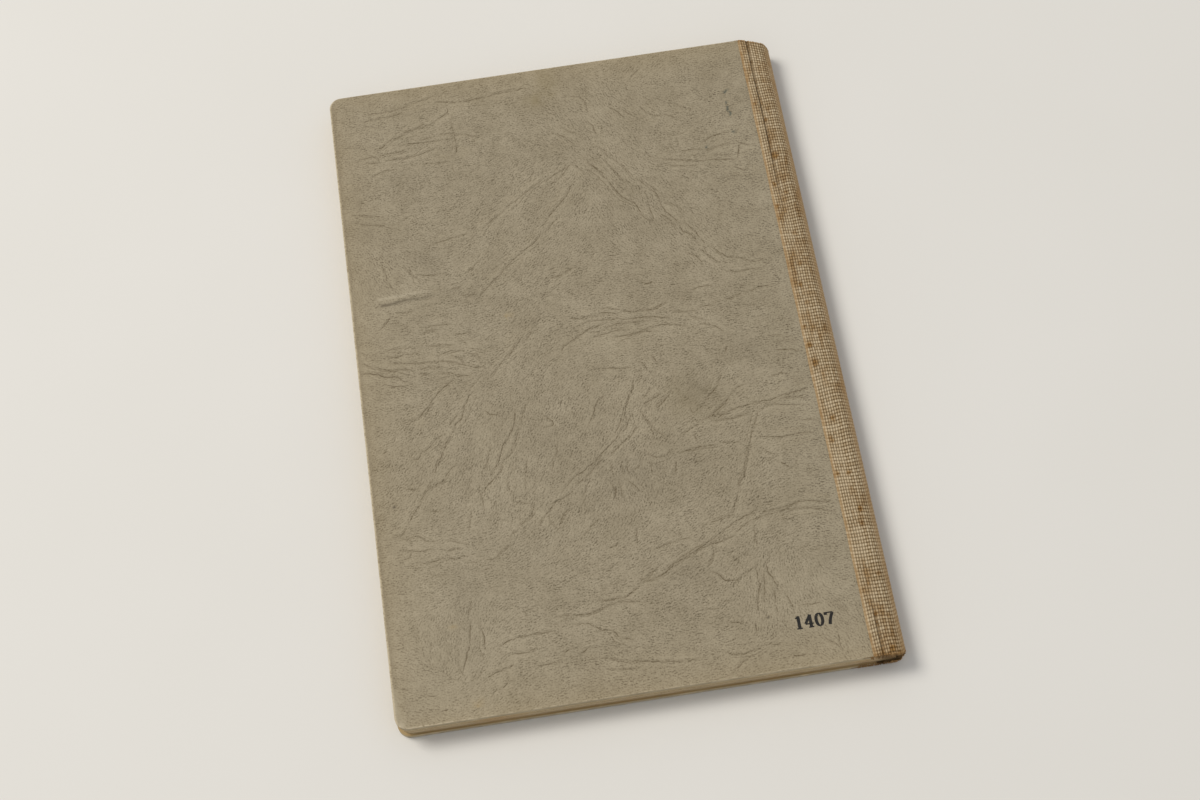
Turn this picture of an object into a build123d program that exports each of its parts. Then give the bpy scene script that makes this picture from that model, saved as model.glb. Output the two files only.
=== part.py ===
"""Thin quarter-bound pocket book, closed and lying on its front cover.

Every separate piece is one solid: the folded page block and its two wire staples, the linen
spine, and for each cover the card board, the side paper outside it, the pastedown inside it and
the strip of spine cloth that is glued to it.

Millimetres. +X runs from the fore edge to the spine, +Y from the tail to the head, +Z up. The
origin is the middle of the box's base. Both covers turn about one line: the centre of the round
spine.
"""

import os
from math import hypot, sqrt

from build123d import *

# Whole book: the leaves decide the height of everything between the covers
cover_height = 148.0
book_width = 100.0
block_thickness = 3.3

# Layers of one cover, from the outside in
side_paper_thickness = 0.22
board_thickness = 1.0
pastedown_thickness = 0.13

# Outlines
fore_corner_radius = 2.6
spine_corner_radius = 1.8
block_recess = 0.35

# Spine cloth, measured in from the spine's outermost line
cloth_thickness = 0.35
back_cloth_show = 6.8
front_cloth_show = 8.8
crease_from_spine = 4.8
paper_over_cloth = 2.0

# Wire staples through the fold
wire_diameter = 0.6
staple_crown = 12.0
staple_clinch = 4.0
staple_depth = 2.6
staple_bend_radius = 0.7
staple_pitch = 84.0

# Clearances
hinge_clearance = 0.04
glue_line = 0.03
wire_clearance = 0.03

# Worked out from the sizes above
cover_thickness = side_paper_thickness + board_thickness + pastedown_thickness
book_thickness = block_thickness + 2 * cover_thickness
mid_height = book_thickness / 2
fore_x = -book_width / 2
spine_x = book_width / 2

# The cloth is half-round about the hinge line, flush with the boards' outer faces
spine_radius = mid_height - side_paper_thickness
spine_inner_radius = spine_radius - cloth_thickness
hinge_x = spine_x - spine_radius
crease_x = spine_x - crease_from_spine

# What turns with a cover stays outside this circle about the hinge line, the spine cloth inside it
crease_radius = hypot(hinge_x - crease_x, spine_radius)
swing_radius = crease_radius + hinge_clearance
board_edge_x = hinge_x - sqrt(swing_radius**2 - (block_thickness / 2) ** 2)

# The fold is glued to the inside of the cloth along the middle of the spine
fold_radius = block_thickness / 2
fold_x = hinge_x + spine_inner_radius - glue_line - fold_radius
block_fore_x = fore_x + block_recess
block_height = cover_height - 2 * block_recess

# Staple wire: crown pressed flush into the fold, legs to the middle of the section
wire_radius = wire_diameter / 2
crown_x = fold_x + fold_radius - wire_radius
clinch_x = crown_x - staple_depth
leg_y = staple_crown / 2
clinch_tip_y = leg_y - staple_clinch
staple_places = [(0, staple_pitch / 2, 0), (0, -staple_pitch / 2, 0)]

os.makedirs("parts", exist_ok=True)


def sheet_outline(inner_edge_x):
    """Draw a cover sheet's outline, round at the fore corners and straight at its inner edge."""
    with BuildSketch() as outline:
        with Locations(((fore_x + inner_edge_x) / 2, 0)):
            Rectangle(inner_edge_x - fore_x, cover_height)
        fillet(outline.vertices().group_by(Axis.X)[0], radius=fore_corner_radius)
    return outline.sketch


def bent_wire(radius):
    """Sweep a round wire along one staple, with its crown along Y at the middle of the height."""
    with BuildPart() as wire:
        with BuildLine(Plane.XY.offset(mid_height)) as bends:
            FilletPolyline(
                (clinch_x, clinch_tip_y),
                (clinch_x, leg_y),
                (crown_x, leg_y),
                (crown_x, -leg_y),
                (clinch_x, -leg_y),
                (clinch_x, -clinch_tip_y),
                radius=staple_bend_radius,
            )
        with BuildSketch(Plane(origin=bends.line @ 0, z_dir=bends.line % 0)):
            Circle(radius)
        sweep()
    return wire.part


# Page block: one folded section, trimmed square at the fore edge, with the staples' channels in it
with BuildPart() as page_block:
    with BuildSketch(Plane.XZ):
        with Locations(((block_fore_x + fold_x) / 2, mid_height)):
            Rectangle(fold_x - block_fore_x, block_thickness)
        with Locations((fold_x, mid_height)):
            Circle(fold_radius)
    extrude(amount=block_height / 2, both=True)
    fore_corners = page_block.edges().filter_by(Axis.Z).group_by(Axis.X)[0]
    fillet(fore_corners, radius=fore_corner_radius)
    with Locations(*staple_places):
        add(bent_wire(wire_radius + wire_clearance), mode=Mode.SUBTRACT)
page_block.part.label = "page_block"
export_step(page_block.part, "parts/page_block.step")

# Two wire staples hold the section together
for place, staple_label in zip(staple_places, ("head_staple", "tail_staple")):
    with BuildPart() as staple:
        with Locations(place):
            add(bent_wire(wire_radius))
    staple.part.label = staple_label
    export_step(staple.part, f"parts/{staple_label}.step")

# Spine cloth from crease to crease, its corners at head and tail worn round in plan
with BuildPart() as spine_cloth:
    with BuildSketch(Plane.XZ):
        for radius, mode in ((spine_radius, Mode.ADD), (spine_inner_radius, Mode.SUBTRACT)):
            with Locations((hinge_x, mid_height)):
                Circle(radius, mode=mode)
            with Locations((hinge_x - crease_radius / 2, mid_height)):
                Rectangle(crease_radius, 2 * radius, mode=mode)
        with Locations((hinge_x, mid_height)):
            Circle(crease_radius, mode=Mode.INTERSECT)
    extrude(amount=cover_height / 2, both=True)
    with BuildSketch() as spine_plan:
        with Locations((spine_x - book_width / 2, 0)):
            Rectangle(book_width, cover_height)
        fillet(spine_plan.vertices().group_by(Axis.X)[-1], radius=spine_corner_radius)
    extrude(amount=book_thickness, mode=Mode.INTERSECT)
spine_cloth.part.label = "spine_cloth"
export_step(spine_cloth.part, "parts/spine_cloth.step")

# The two covers, outward is +1 for the upper one and -1 for the one it lies on
for cover, outward, cloth_show in (
    ("back", 1, back_cloth_show),
    ("front", -1, front_cloth_show),
):
    paper_edge_x = spine_x - cloth_show
    cloth_edge_x = paper_edge_x - paper_over_cloth
    outer_face = Plane.XY.offset(mid_height + outward * mid_height)
    board_face = outer_face.offset(-outward * side_paper_thickness)
    pastedown_face = board_face.offset(-outward * board_thickness)

    # Side paper: flush with the card outside, over the edge of the cloth at the spine
    with BuildPart() as side_paper:
        with BuildSketch(outer_face):
            add(sheet_outline(paper_edge_x))
        extrude(amount=-outward * side_paper_thickness)
    side_paper.part.label = f"{cover}_side_paper"
    export_step(side_paper.part, f"parts/{cover}_side_paper.step")

    # Board: card with the cloth pressed into it along the hinge
    with BuildPart() as board:
        with BuildSketch(board_face):
            add(sheet_outline(board_edge_x))
        extrude(amount=-outward * board_thickness)
        with BuildSketch(board_face):
            with Locations(((cloth_edge_x + board_edge_x) / 2, 0)):
                Rectangle(board_edge_x - cloth_edge_x, cover_height)
        extrude(amount=-outward * cloth_thickness, mode=Mode.SUBTRACT)
    board.part.label = f"{cover}_board"
    export_step(board.part, f"parts/{cover}_board.step")

    # Pastedown: the outermost leaf, glued to the inside of the board
    with BuildPart() as pastedown:
        with BuildSketch(pastedown_face):
            add(sheet_outline(board_edge_x))
        extrude(amount=-outward * pastedown_thickness)
    pastedown.part.label = f"{cover}_pastedown"
    export_step(pastedown.part, f"parts/{cover}_pastedown.step")

    # Cloth on the cover: from under the side paper to the crease, clear of the spine as it turns
    with BuildPart() as cover_cloth:
        with BuildSketch(Plane.XZ):
            with Locations(
                (
                    (cloth_edge_x + crease_x) / 2,
                    mid_height + outward * (spine_radius - cloth_thickness / 2),
                )
            ):
                Rectangle(crease_x - cloth_edge_x, cloth_thickness)
            with Locations((hinge_x, mid_height)):
                Circle(swing_radius, mode=Mode.SUBTRACT)
        extrude(amount=cover_height / 2, both=True)
    cover_cloth.part.label = f"{cover}_cover_cloth"
    export_step(cover_cloth.part, f"parts/{cover}_cover_cloth.step")
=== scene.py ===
"""Looks of a thin quarter-bound pocket book that lies on its front cover.

Leatherette side papers with creases pressed into them, a woven linen spine, one section of folded
leaves, worn card boards and a stamped number. Metres, in the frame of the solids: +X runs from the
fore edge to the spine, +Y from the tail to the head, +Z up.
"""

import logging
import math
import random
from dataclasses import dataclass
from enum import Enum
from typing import Any, Callable, Iterator, Sequence

import bpy
import numpy as np
from mathutils import Matrix, Vector, noise
from mathutils.geometry import delaunay_2d_cdt
from mathutils.kdtree import KDTree


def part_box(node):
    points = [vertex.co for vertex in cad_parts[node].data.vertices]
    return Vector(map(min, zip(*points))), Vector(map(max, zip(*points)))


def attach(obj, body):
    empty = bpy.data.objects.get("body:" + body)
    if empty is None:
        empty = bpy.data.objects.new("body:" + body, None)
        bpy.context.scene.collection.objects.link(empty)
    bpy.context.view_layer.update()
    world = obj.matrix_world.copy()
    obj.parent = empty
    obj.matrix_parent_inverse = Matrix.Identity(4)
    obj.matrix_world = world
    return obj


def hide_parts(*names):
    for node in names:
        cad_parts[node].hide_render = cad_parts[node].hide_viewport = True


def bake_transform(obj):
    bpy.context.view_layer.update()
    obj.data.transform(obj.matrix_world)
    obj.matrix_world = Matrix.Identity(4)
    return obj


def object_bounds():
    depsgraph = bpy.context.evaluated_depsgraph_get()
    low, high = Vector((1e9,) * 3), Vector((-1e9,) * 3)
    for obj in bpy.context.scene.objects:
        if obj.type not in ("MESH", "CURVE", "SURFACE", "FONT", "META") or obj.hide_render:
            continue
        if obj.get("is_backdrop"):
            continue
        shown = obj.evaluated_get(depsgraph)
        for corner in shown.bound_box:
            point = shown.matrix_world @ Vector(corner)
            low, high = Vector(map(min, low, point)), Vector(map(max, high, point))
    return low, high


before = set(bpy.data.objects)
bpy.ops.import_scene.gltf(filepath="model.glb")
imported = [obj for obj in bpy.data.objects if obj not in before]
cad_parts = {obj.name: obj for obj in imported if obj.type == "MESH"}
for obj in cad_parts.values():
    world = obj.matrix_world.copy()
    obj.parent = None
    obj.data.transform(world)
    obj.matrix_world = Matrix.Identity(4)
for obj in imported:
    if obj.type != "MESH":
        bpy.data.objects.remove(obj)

MM = 0.001
LOG = logging.getLogger("pocket_book")
Pixel = tuple[float, float]
Colour = tuple[float, float, float, float]
SOLID_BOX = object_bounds()


def srgb(red: int, green: int, blue: int) -> Colour:
    """Turn a colour as a screen shows it into the linear colour that a shader takes.

    Args:
        red: Red, from 0 to 255.
        green: Green, from 0 to 255.
        blue: Blue, from 0 to 255.

    Returns:
        The linear colour, with full alpha.
    """
    linear = []
    for channel in (red, green, blue):
        level = channel / 255
        linear.append(level / 12.92 if level < 0.04045 else ((level + 0.055) / 1.055) ** 2.4)
    return (linear[0], linear[1], linear[2], 1.0)


class Cover(Enum):
    """The two covers, each with the way its outer face looks along Z."""

    BACK = 1
    FRONT = -1

    @property
    def side(self) -> str:
        """Name of the cover as the nodes spell it."""
        return self.name.lower()

    @property
    def body(self) -> str:
        """Body that carries the cover."""
        return f"{self.side}_cover"


class Ink(Enum):
    """Colours of the small marks on the side paper."""

    PEN = srgb(54, 66, 60)
    # Real dirt, and also the painted shade along the blister's lower side.
    DIRT_AND_SHADE = srgb(82, 72, 55)
    OLIVE = srgb(122, 108, 72)
    TAN = srgb(158, 138, 100)
    PALE = srgb(178, 166, 140)
    # Rubbed wear, and also the painted highlight along the blister's upper side.
    RUBBED = srgb(204, 194, 170)


@dataclass(frozen=True)
class Box:
    """Lowest and highest corner of a node at rest, in metres."""

    low: Vector
    high: Vector

    @classmethod
    def of(cls, node: str) -> "Box":
        """Measure a node of the frame.

        Args:
            node: The node's name.

        Returns:
            Its box.
        """
        low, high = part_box(node)
        return cls(Vector(low), Vector(high))


# Small helpers for objects and edit mode


def activate(piece: bpy.types.Object) -> None:
    """Make a piece the only selected and active one."""
    bpy.ops.object.select_all(action="DESELECT")
    piece.select_set(True)
    bpy.context.view_layer.objects.active = piece


def apply_modifier(piece: bpy.types.Object, kind: str, **settings: Any) -> None:
    """Add a modifier to a piece and apply it.

    Args:
        piece: The piece that is changed.
        kind: The modifier's type.
        **settings: Values of the modifier's properties.
    """
    activate(piece)
    modifier = piece.modifiers.new(kind.title(), kind)
    for name, value in settings.items():
        setattr(modifier, name, value)
    bpy.ops.object.modifier_apply(modifier=modifier.name)


def pick(piece: bpy.types.Object, test: Callable[[Vector], bool]) -> None:
    """Select a piece's vertices by their place, and what they span, in edit mode.

    Args:
        piece: A piece in edit mode.
        test: Tells of a vertex's place whether it is selected.
    """
    bpy.ops.mesh.select_mode(type="VERT")
    bpy.ops.mesh.select_all(action="DESELECT")
    bpy.ops.object.mode_set(mode="OBJECT")
    for vertex in piece.data.vertices:
        vertex.select = bool(test(vertex.co))
    bpy.ops.object.mode_set(mode="EDIT")


def face_outwards(piece: bpy.types.Object) -> None:
    """Turn all faces of a piece outwards."""
    activate(piece)
    bpy.ops.object.mode_set(mode="EDIT")
    bpy.ops.mesh.select_all(action="SELECT")
    bpy.ops.mesh.normals_make_consistent(inside=False)
    bpy.ops.object.mode_set(mode="OBJECT")


def mesh_piece(name: str, points: Sequence[Any], faces: Sequence[Any]) -> bpy.types.Object:
    """Make a piece from points and faces.

    Args:
        name: The piece's name.
        points: Places of the vertices, in metres.
        faces: Vertex numbers of each face.

    Returns:
        The new object, linked to the scene.
    """
    mesh = bpy.data.meshes.new(name)
    mesh.from_pydata(points, [], faces)
    piece = bpy.data.objects.new(name, mesh)
    bpy.context.collection.objects.link(piece)
    return piece


def store(piece: bpy.types.Object, name: str, kind: str, values: np.ndarray) -> None:
    """Keep a value on each vertex of a piece.

    Args:
        piece: The piece.
        name: The attribute's name.
        kind: FLOAT, FLOAT_VECTOR or FLOAT_COLOR.
        values: One row for each vertex.
    """
    attribute = piece.data.attributes.new(name, kind, "POINT")
    field = {"FLOAT": "value", "FLOAT_VECTOR": "vector", "FLOAT_COLOR": "color"}[kind]
    attribute.data.foreach_set(field, np.asarray(values, dtype=np.float32).ravel())


def coat(piece: bpy.types.Object, finish: bpy.types.Material) -> None:
    """Give a piece one finish all over."""
    piece.data.materials.clear()
    piece.data.materials.append(finish)


def triangles(piece: bpy.types.Object) -> int:
    """Count the triangles of a piece's mesh."""
    return sum(len(face.vertices) - 2 for face in piece.data.polygons)


# Finishes


class Bench:
    """A material under construction, with short calls for the nodes that the finishes share."""

    def __init__(self, name: str) -> None:
        """Start a material that has only its shader.

        Args:
            name: The material's name.
        """
        self.material = bpy.data.materials.new(name)
        self.material.use_nodes = True
        self.tree = self.material.node_tree
        self.shader = self.tree.nodes["Principled BSDF"]

    def feed(self, socket: bpy.types.NodeSocket, value: Any) -> None:
        """Link a socket, or set its constant.

        Args:
            socket: The input that takes the value.
            value: An output socket, or a constant.
        """
        if isinstance(value, bpy.types.NodeSocket):
            self.tree.links.new(value, socket)
        else:
            socket.default_value = value

    def add(self, kind: str, inputs: dict[Any, Any], **settings: Any) -> bpy.types.Node:
        """Add a node.

        Args:
            kind: The node's type.
            inputs: Values or links by socket name or number.
            **settings: Values of the node's properties.

        Returns:
            The node.
        """
        node = self.tree.nodes.new(kind)
        for name, value in settings.items():
            setattr(node, name, value)
        for name, value in inputs.items():
            self.feed(node.inputs[name], value)
        return node

    def place(self, stretch: tuple[float, float, float] = (1, 1, 1)) -> bpy.types.NodeSocket:
        """Give the piece's own coordinates, stretched along its axes.

        Args:
            stretch: Factor along each axis.

        Returns:
            The coordinates.
        """
        source = self.add("ShaderNodeTexCoord", {}).outputs["Object"]
        return self.add("ShaderNodeMapping", {"Vector": source, "Scale": stretch}).outputs[0]

    def value(self, name: str) -> bpy.types.NodeSocket:
        """Give the number that an attribute holds."""
        return self.add("ShaderNodeAttribute", {}, attribute_name=name).outputs["Fac"]

    def noise(
        self, where: bpy.types.NodeSocket, size: float, detail: float = 2.0, rough: float = 0.5
    ) -> bpy.types.NodeSocket:
        """Give soft noise.

        Args:
            where: Coordinates in metres.
            size: Width of its blotches, in millimetres.
            detail: Number of finer layers.
            rough: Strength of the finer layers.

        Returns:
            The noise, around a half.
        """
        inputs = {"Vector": where, "Scale": 1 / (size * MM), "Detail": detail, "Roughness": rough}
        return self.add("ShaderNodeTexNoise", inputs).outputs["Fac"]

    def range(
        self, value: Any, low: float, high: float, to_low: float = 0.0, to_high: float = 1.0
    ) -> bpy.types.NodeSocket:
        """Stretch a value from one range to another, and hold it there.

        Args:
            value: The value.
            low: Where its range starts.
            high: Where its range ends.
            to_low: What the start becomes.
            to_high: What the end becomes.

        Returns:
            The new value.
        """
        inputs = {0: value, 1: low, 2: high, 3: to_low, 4: to_high}
        return self.add("ShaderNodeMapRange", inputs).outputs[0]

    def math(self, task: str, first: Any, second: Any = 0.5) -> bpy.types.NodeSocket:
        """Work out one sum.

        Args:
            task: The operation.
            first: Its first value.
            second: Its second value.

        Returns:
            The result.
        """
        return self.add("ShaderNodeMath", {0: first, 1: second}, operation=task).outputs[0]

    def layer(self, amount: Any, under: Any, over: Any, way: str = "MIX") -> bpy.types.NodeSocket:
        """Lay one colour over another.

        Args:
            amount: How much of the upper colour shows.
            under: The lower colour.
            over: The upper colour.
            way: How the two are blended.

        Returns:
            The colour.
        """
        inputs = {0: amount, 6: under, 7: over}
        return self.add("ShaderNodeMix", inputs, data_type="RGBA", blend_type=way).outputs[2]

    def finish(
        self, colour: Any, rough: Any, relief: Any, height: float, gloss: float
    ) -> bpy.types.Material:
        """Join colour, roughness and relief to the shader.

        Args:
            colour: Base colour.
            rough: Roughness.
            relief: Height of the fine relief, from 0 to 1.
            height: What a relief of 1 stands for, in millimetres.
            gloss: Specular level.

        Returns:
            The finished material.
        """
        bump = self.add("ShaderNodeBump", {"Height": relief, "Distance": height * MM, "Strength": 1.0})
        self.feed(self.shader.inputs["Base Color"], colour)
        self.feed(self.shader.inputs["Roughness"], rough)
        self.feed(self.shader.inputs["Normal"], bump.outputs[0])
        self.shader.inputs["Specular IOR Level"].default_value = gloss
        return self.material


@dataclass(frozen=True)
class Leatherette:
    """Matt coated paper, embossed with short strokes of grain, dark in its creases with dirt and painted
    shade.
    """

    light: Colour = srgb(163, 151, 127)
    deep: Colour = srgb(152, 140, 116)
    grain: Colour = srgb(80, 69, 48)
    groove: Colour = srgb(88, 73, 46)
    core: Colour = srgb(186, 172, 144)
    stroke_mm: float = 0.75
    strokes_across: float = 1.4

    def make(self, name: str) -> bpy.types.Material:
        """Make the material.

        Args:
            name: The material's name.

        Returns:
            The material. It reads the flow, groove, wear and mark attributes.
        """
        bench = Bench(name)
        where = bench.place()
        flow = bench.add("ShaderNodeAttribute", {}, attribute_name="flow").outputs["Vector"]
        parts = bench.add("ShaderNodeSeparateXYZ", {0: flow})
        double = bench.math("ARCTAN2", parts.outputs["Y"], parts.outputs["X"])
        lines = bench.add(
            "ShaderNodeTexGabor",
            {
                "Vector": where,
                "Scale": 1 / (self.stroke_mm * MM),
                "Frequency": self.strokes_across,
                "Anisotropy": 0.7,
                "Orientation": bench.math("MULTIPLY_ADD", double, 0.5),
            },
            gabor_type="2D",
        )
        lines.inputs["Orientation"].links[0].from_node.inputs[2].default_value = math.pi / 2
        strokes = bench.range(lines.outputs["Value"], 0.42, 0.62)
        pebbles = bench.range(bench.noise(where, 0.32, 1, 0.6), 0.4, 0.6)
        thick = bench.range(bench.noise(where, 2.8, 2, 0.5), 0.34, 0.66, 0.55, 1.0)
        broken = bench.range(pebbles, 0, 1, 0.15, 1.0)
        lines_broken = bench.math("MULTIPLY", strokes, broken)
        dots = bench.math("MULTIPLY", pebbles, 0.4)
        grain = bench.math("MULTIPLY", bench.math("MAXIMUM", lines_broken, dots), thick)
        blotch = bench.range(bench.noise(where, 7.0, 3), 0.3, 0.7)
        colour = bench.layer(blotch, self.deep, self.light)
        colour = bench.layer(bench.math("MULTIPLY", grain, 0.85), colour, self.grain)
        mark = bench.add("ShaderNodeAttribute", {}, attribute_name="mark")
        colour = bench.layer(mark.outputs["Alpha"], colour, mark.outputs["Color"])
        # The groove colour darkens grain strokes and creases; in and beside the creases it is partly dirt
        # and partly painted shade.
        colour = bench.layer(bench.value("groove"), colour, self.groove)
        fibres = bench.range(bench.noise(where, 0.7, 3, 0.7), 0.3, 0.6)
        wear = bench.range(bench.math("MULTIPLY", bench.value("wear"), fibres), 0.12, 0.45)
        colour = bench.layer(wear, colour, self.core)
        rough = bench.range(grain, 0, 1, 0.58, 0.74)
        relief = bench.math("SUBTRACT", bench.math("MULTIPLY", pebbles, 0.25), grain)
        return bench.finish(colour, rough, relief, 0.035, 0.3)


@dataclass(frozen=True)
class Linen:
    """Plain-woven tan cloth, its threads uneven in tone and stained brown, with painted highlights on the
    thread crowns and painted shade in the gaps.
    """

    crest: Colour = srgb(200, 183, 153)
    flank: Colour = srgb(152, 129, 95)
    gap: Colour = srgb(78, 61, 38)
    stain: Colour = srgb(204, 178, 136)
    # Lighter colour for the round of the spine: rubbed wear and painted light.
    rubbed: Colour = srgb(200, 162, 114)

    def make(self, name: str) -> bpy.types.Material:
        """Make the material.

        Args:
            name: The material's name.

        Returns:
            The material. It reads the thread, crown, soil and rust attributes.
        """
        bench = Bench(name)
        where = bench.place()
        fibres = bench.noise(where, 0.1, 3, 0.7)
        crown = bench.value("crown")
        lit = bench.math("ADD", bench.range(crown, 0.42, 0.95), bench.value("thread"))
        lit = bench.math("ADD", lit, bench.range(fibres, 0.3, 0.7, -0.15, 0.15))
        # Painted shade in the gaps between threads and painted highlight on the thread crowns, by how far
        # each thread stands clear.
        colour = bench.layer(bench.range(crown, 0.08, 0.55), self.gap, self.flank)
        colour = bench.layer(bench.range(lit, 0, 1), colour, self.crest)
        patches = bench.range(bench.noise(bench.place((1.0, 0.35, 1.0)), 2.2, 3, 0.6), 0.5, 0.68, 0, 0.75)
        blots = bench.range(bench.noise(where, 0.8, 2, 0.6), 0.3, 0.7, -0.2, 0.2)
        rust = bench.range(bench.math("ADD", bench.value("rust"), blots), 0.2, 0.8)
        colour = bench.layer(bench.math("MAXIMUM", patches, rust), colour, self.stain, "MULTIPLY")
        # Lightens the round of the spine, which lies in shade, and a band beside the side paper: rubbed
        # wear and painted light.
        colour = bench.layer(bench.value("wear_and_light"), colour, self.rubbed)
        return bench.finish(colour, 0.86, fibres, 0.02, 0.15)


@dataclass(frozen=True)
class RawCard:
    """Grey-buff card whose layers show at its cut edge."""

    light: Colour = srgb(184, 170, 142)
    deep: Colour = srgb(150, 137, 112)
    worn: Colour = srgb(202, 187, 157)

    def make(self, name: str) -> bpy.types.Material:
        """Make the material.

        Args:
            name: The material's name.

        Returns:
            The material.
        """
        bench = Bench(name)
        layers = bench.noise(bench.place((0.05, 0.05, 1.0)), 0.22, 3, 0.6)
        rubs = bench.noise(bench.place(), 3.0, 3, 0.6)
        fibres = bench.noise(bench.place(), 0.25, 2, 0.6)
        colour = bench.layer(bench.range(layers, 0.32, 0.68), self.deep, self.light)
        colour = bench.layer(bench.range(rubs, 0.52, 0.7, 0, 0.6), colour, self.worn)
        relief = bench.math("ADD", layers, bench.math("MULTIPLY", fibres, 0.5))
        return bench.finish(colour, 0.9, relief, 0.06, 0.15)


@dataclass(frozen=True)
class TonedPaper:
    """Old writing paper, browner towards its edges, with foxing and fine fibres."""

    sheet: Colour = srgb(196, 180, 144)
    shade: Colour = srgb(182, 163, 124)
    margin: Colour = srgb(160, 132, 88)
    fox: Colour = srgb(150, 112, 66)
    margin_mm: float = 5.0

    def make(self, name: str, box: Box) -> bpy.types.Material:
        """Make the material of a leaf that fills a box in plan.

        Args:
            name: The material's name.
            box: The leaf's box.

        Returns:
            The material.
        """
        bench = Bench(name)
        where = bench.place()
        colour = self.surface(bench, where, box)
        fibres = bench.noise(where, 0.2, 3, 0.6)
        return bench.finish(colour, 0.88, fibres, 0.02, 0.15)

    def surface(self, bench: Bench, where: bpy.types.NodeSocket, box: Box) -> bpy.types.NodeSocket:
        """Paint the face of a leaf.

        Args:
            bench: The material under construction.
            where: Coordinates in metres.
            box: The leaf's box.

        Returns:
            The face's colour.
        """
        parts = bench.add("ShaderNodeSeparateXYZ", {0: where})
        half = (box.high - box.low) / 2
        middle = (box.high + box.low) / 2
        along = bench.math("ABSOLUTE", bench.math("SUBTRACT", parts.outputs["X"], middle.x))
        across = bench.math("ABSOLUTE", bench.math("SUBTRACT", parts.outputs["Y"], middle.y))
        inside = bench.math(
            "MINIMUM", bench.math("SUBTRACT", half.x, along), bench.math("SUBTRACT", half.y, across)
        )
        uneven = bench.math("MULTIPLY_ADD", bench.noise(where, 6.0, 4, 0.6), self.margin_mm * MM)
        uneven.node.inputs[2].default_value = -self.margin_mm * MM / 2
        edge = bench.range(bench.math("ADD", inside, uneven), 0, self.margin_mm * MM, 1, 0)
        clouds = bench.range(bench.noise(where, 14.0, 4, 0.6), 0.35, 0.65)
        colour = bench.layer(clouds, self.sheet, self.shade)
        colour = bench.layer(bench.math("MULTIPLY", edge, 0.7), colour, self.margin)
        spots = bench.range(bench.noise(where, 2.2, 1), 0.7, 0.78, 0, 0.4)
        return bench.layer(spots, colour, self.fox)


@dataclass(frozen=True)
class PageEdges:
    """Leaves seen from their cut edges: buff streaks, warmer in places, and darker near the spine with dirt
    and painted shade.
    """

    light: Colour = srgb(214, 196, 162)
    deep: Colour = srgb(170, 151, 120)
    warm: Colour = srgb(190, 160, 120)
    # Colour and reach of the darkening near the spine: dirt and painted shade.
    soil_and_shade: Colour = srgb(104, 76, 45)
    soil_and_shade_mm: tuple[float, float] = (5.2, 3.6)
    faces: TonedPaper = TonedPaper()

    def make(self, name: str, box: Box) -> bpy.types.Material:
        """Make the material.

        Args:
            name: The material's name.
            box: Box of the page block.

        Returns:
            The material. It reads the leaf attribute.
        """
        bench = Bench(name)
        where = bench.place()
        streaks = bench.noise(bench.place((0.06, 0.06, 1.0)), 0.16, 3, 0.6)
        tone = bench.math("ADD", bench.value("leaf"), bench.range(streaks, 0.3, 0.7, -0.4, 0.4))
        cut = bench.layer(tone, self.deep, self.light)
        cut = bench.layer(bench.range(bench.noise(where, 9.0, 3), 0.52, 0.7, 0, 0.75), cut, self.warm)
        along = bench.add("ShaderNodeSeparateXYZ", {0: where}).outputs["X"]
        # The page edges near the spine are darkened: dirt and painted shade.
        begin, full = (box.high.x - reach * MM for reach in self.soil_and_shade_mm)
        cut = bench.layer(bench.range(along, begin, full, 0, 0.85), cut, self.soil_and_shade)
        normal = bench.add("ShaderNodeTexCoord", {}).outputs["Normal"]
        upright = bench.add("ShaderNodeSeparateXYZ", {0: normal}).outputs["Z"]
        flat = bench.range(bench.math("ABSOLUTE", upright), 0.6, 0.8)
        colour = bench.layer(flat, cut, self.faces.surface(bench, where, box))
        return bench.finish(colour, 0.9, streaks, 0.03, 0.12)


@dataclass(frozen=True)
class RustyWire:
    """Steel wire that has rusted brown, with bare metal left in small places."""

    steel: Colour = srgb(128, 122, 114)
    rust: Colour = srgb(112, 66, 36)
    crust: Colour = srgb(70, 42, 26)

    def make(self, name: str) -> bpy.types.Material:
        """Make the material.

        Args:
            name: The material's name.

        Returns:
            The material.
        """
        bench = Bench(name)
        where = bench.place()
        pits = bench.noise(where, 0.3, 4, 0.65)
        colour = bench.layer(bench.range(pits, 0.36, 0.62), self.crust, self.rust)
        bare = bench.range(bench.noise(where, 0.9, 3), 0.6, 0.68)
        colour = bench.layer(bare, colour, self.steel)
        bench.feed(bench.shader.inputs["Metallic"], bench.math("MULTIPLY", bare, 0.9))
        return bench.finish(colour, bench.range(bare, 0, 1, 0.85, 0.4), pits, 0.05, 0.4)


@dataclass(frozen=True)
class StampInk:
    """Black stamping ink, thin where the grain did not take it."""

    black: Colour = srgb(25, 23, 20)
    thin: Colour = srgb(66, 60, 50)

    def make(self, name: str) -> bpy.types.Material:
        """Make the material.

        Args:
            name: The material's name.

        Returns:
            The material.
        """
        bench = Bench(name)
        grip = bench.noise(bench.place(), 0.3, 3, 0.65)
        colour = bench.layer(bench.range(grip, 0.52, 0.72, 0, 0.8), self.black, self.thin)
        return bench.finish(colour, bench.range(grip, 0.3, 0.7, 0.5, 0.7), grip, 0.02, 0.3)


@dataclass(frozen=True)
class PaleFloor:
    """Plain pale floor with the faintest unevenness."""

    light: Colour = srgb(226, 223, 217)
    deep: Colour = srgb(222, 219, 212)

    def make(self, name: str) -> bpy.types.Material:
        """Make the material.

        Args:
            name: The material's name.

        Returns:
            The material.
        """
        bench = Bench(name)
        clouds = bench.noise(bench.place(), 60.0, 2)
        return bench.finish(bench.layer(clouds, self.deep, self.light), 0.9, clouds, 0.01, 0.1)


# Camera and light


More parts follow.
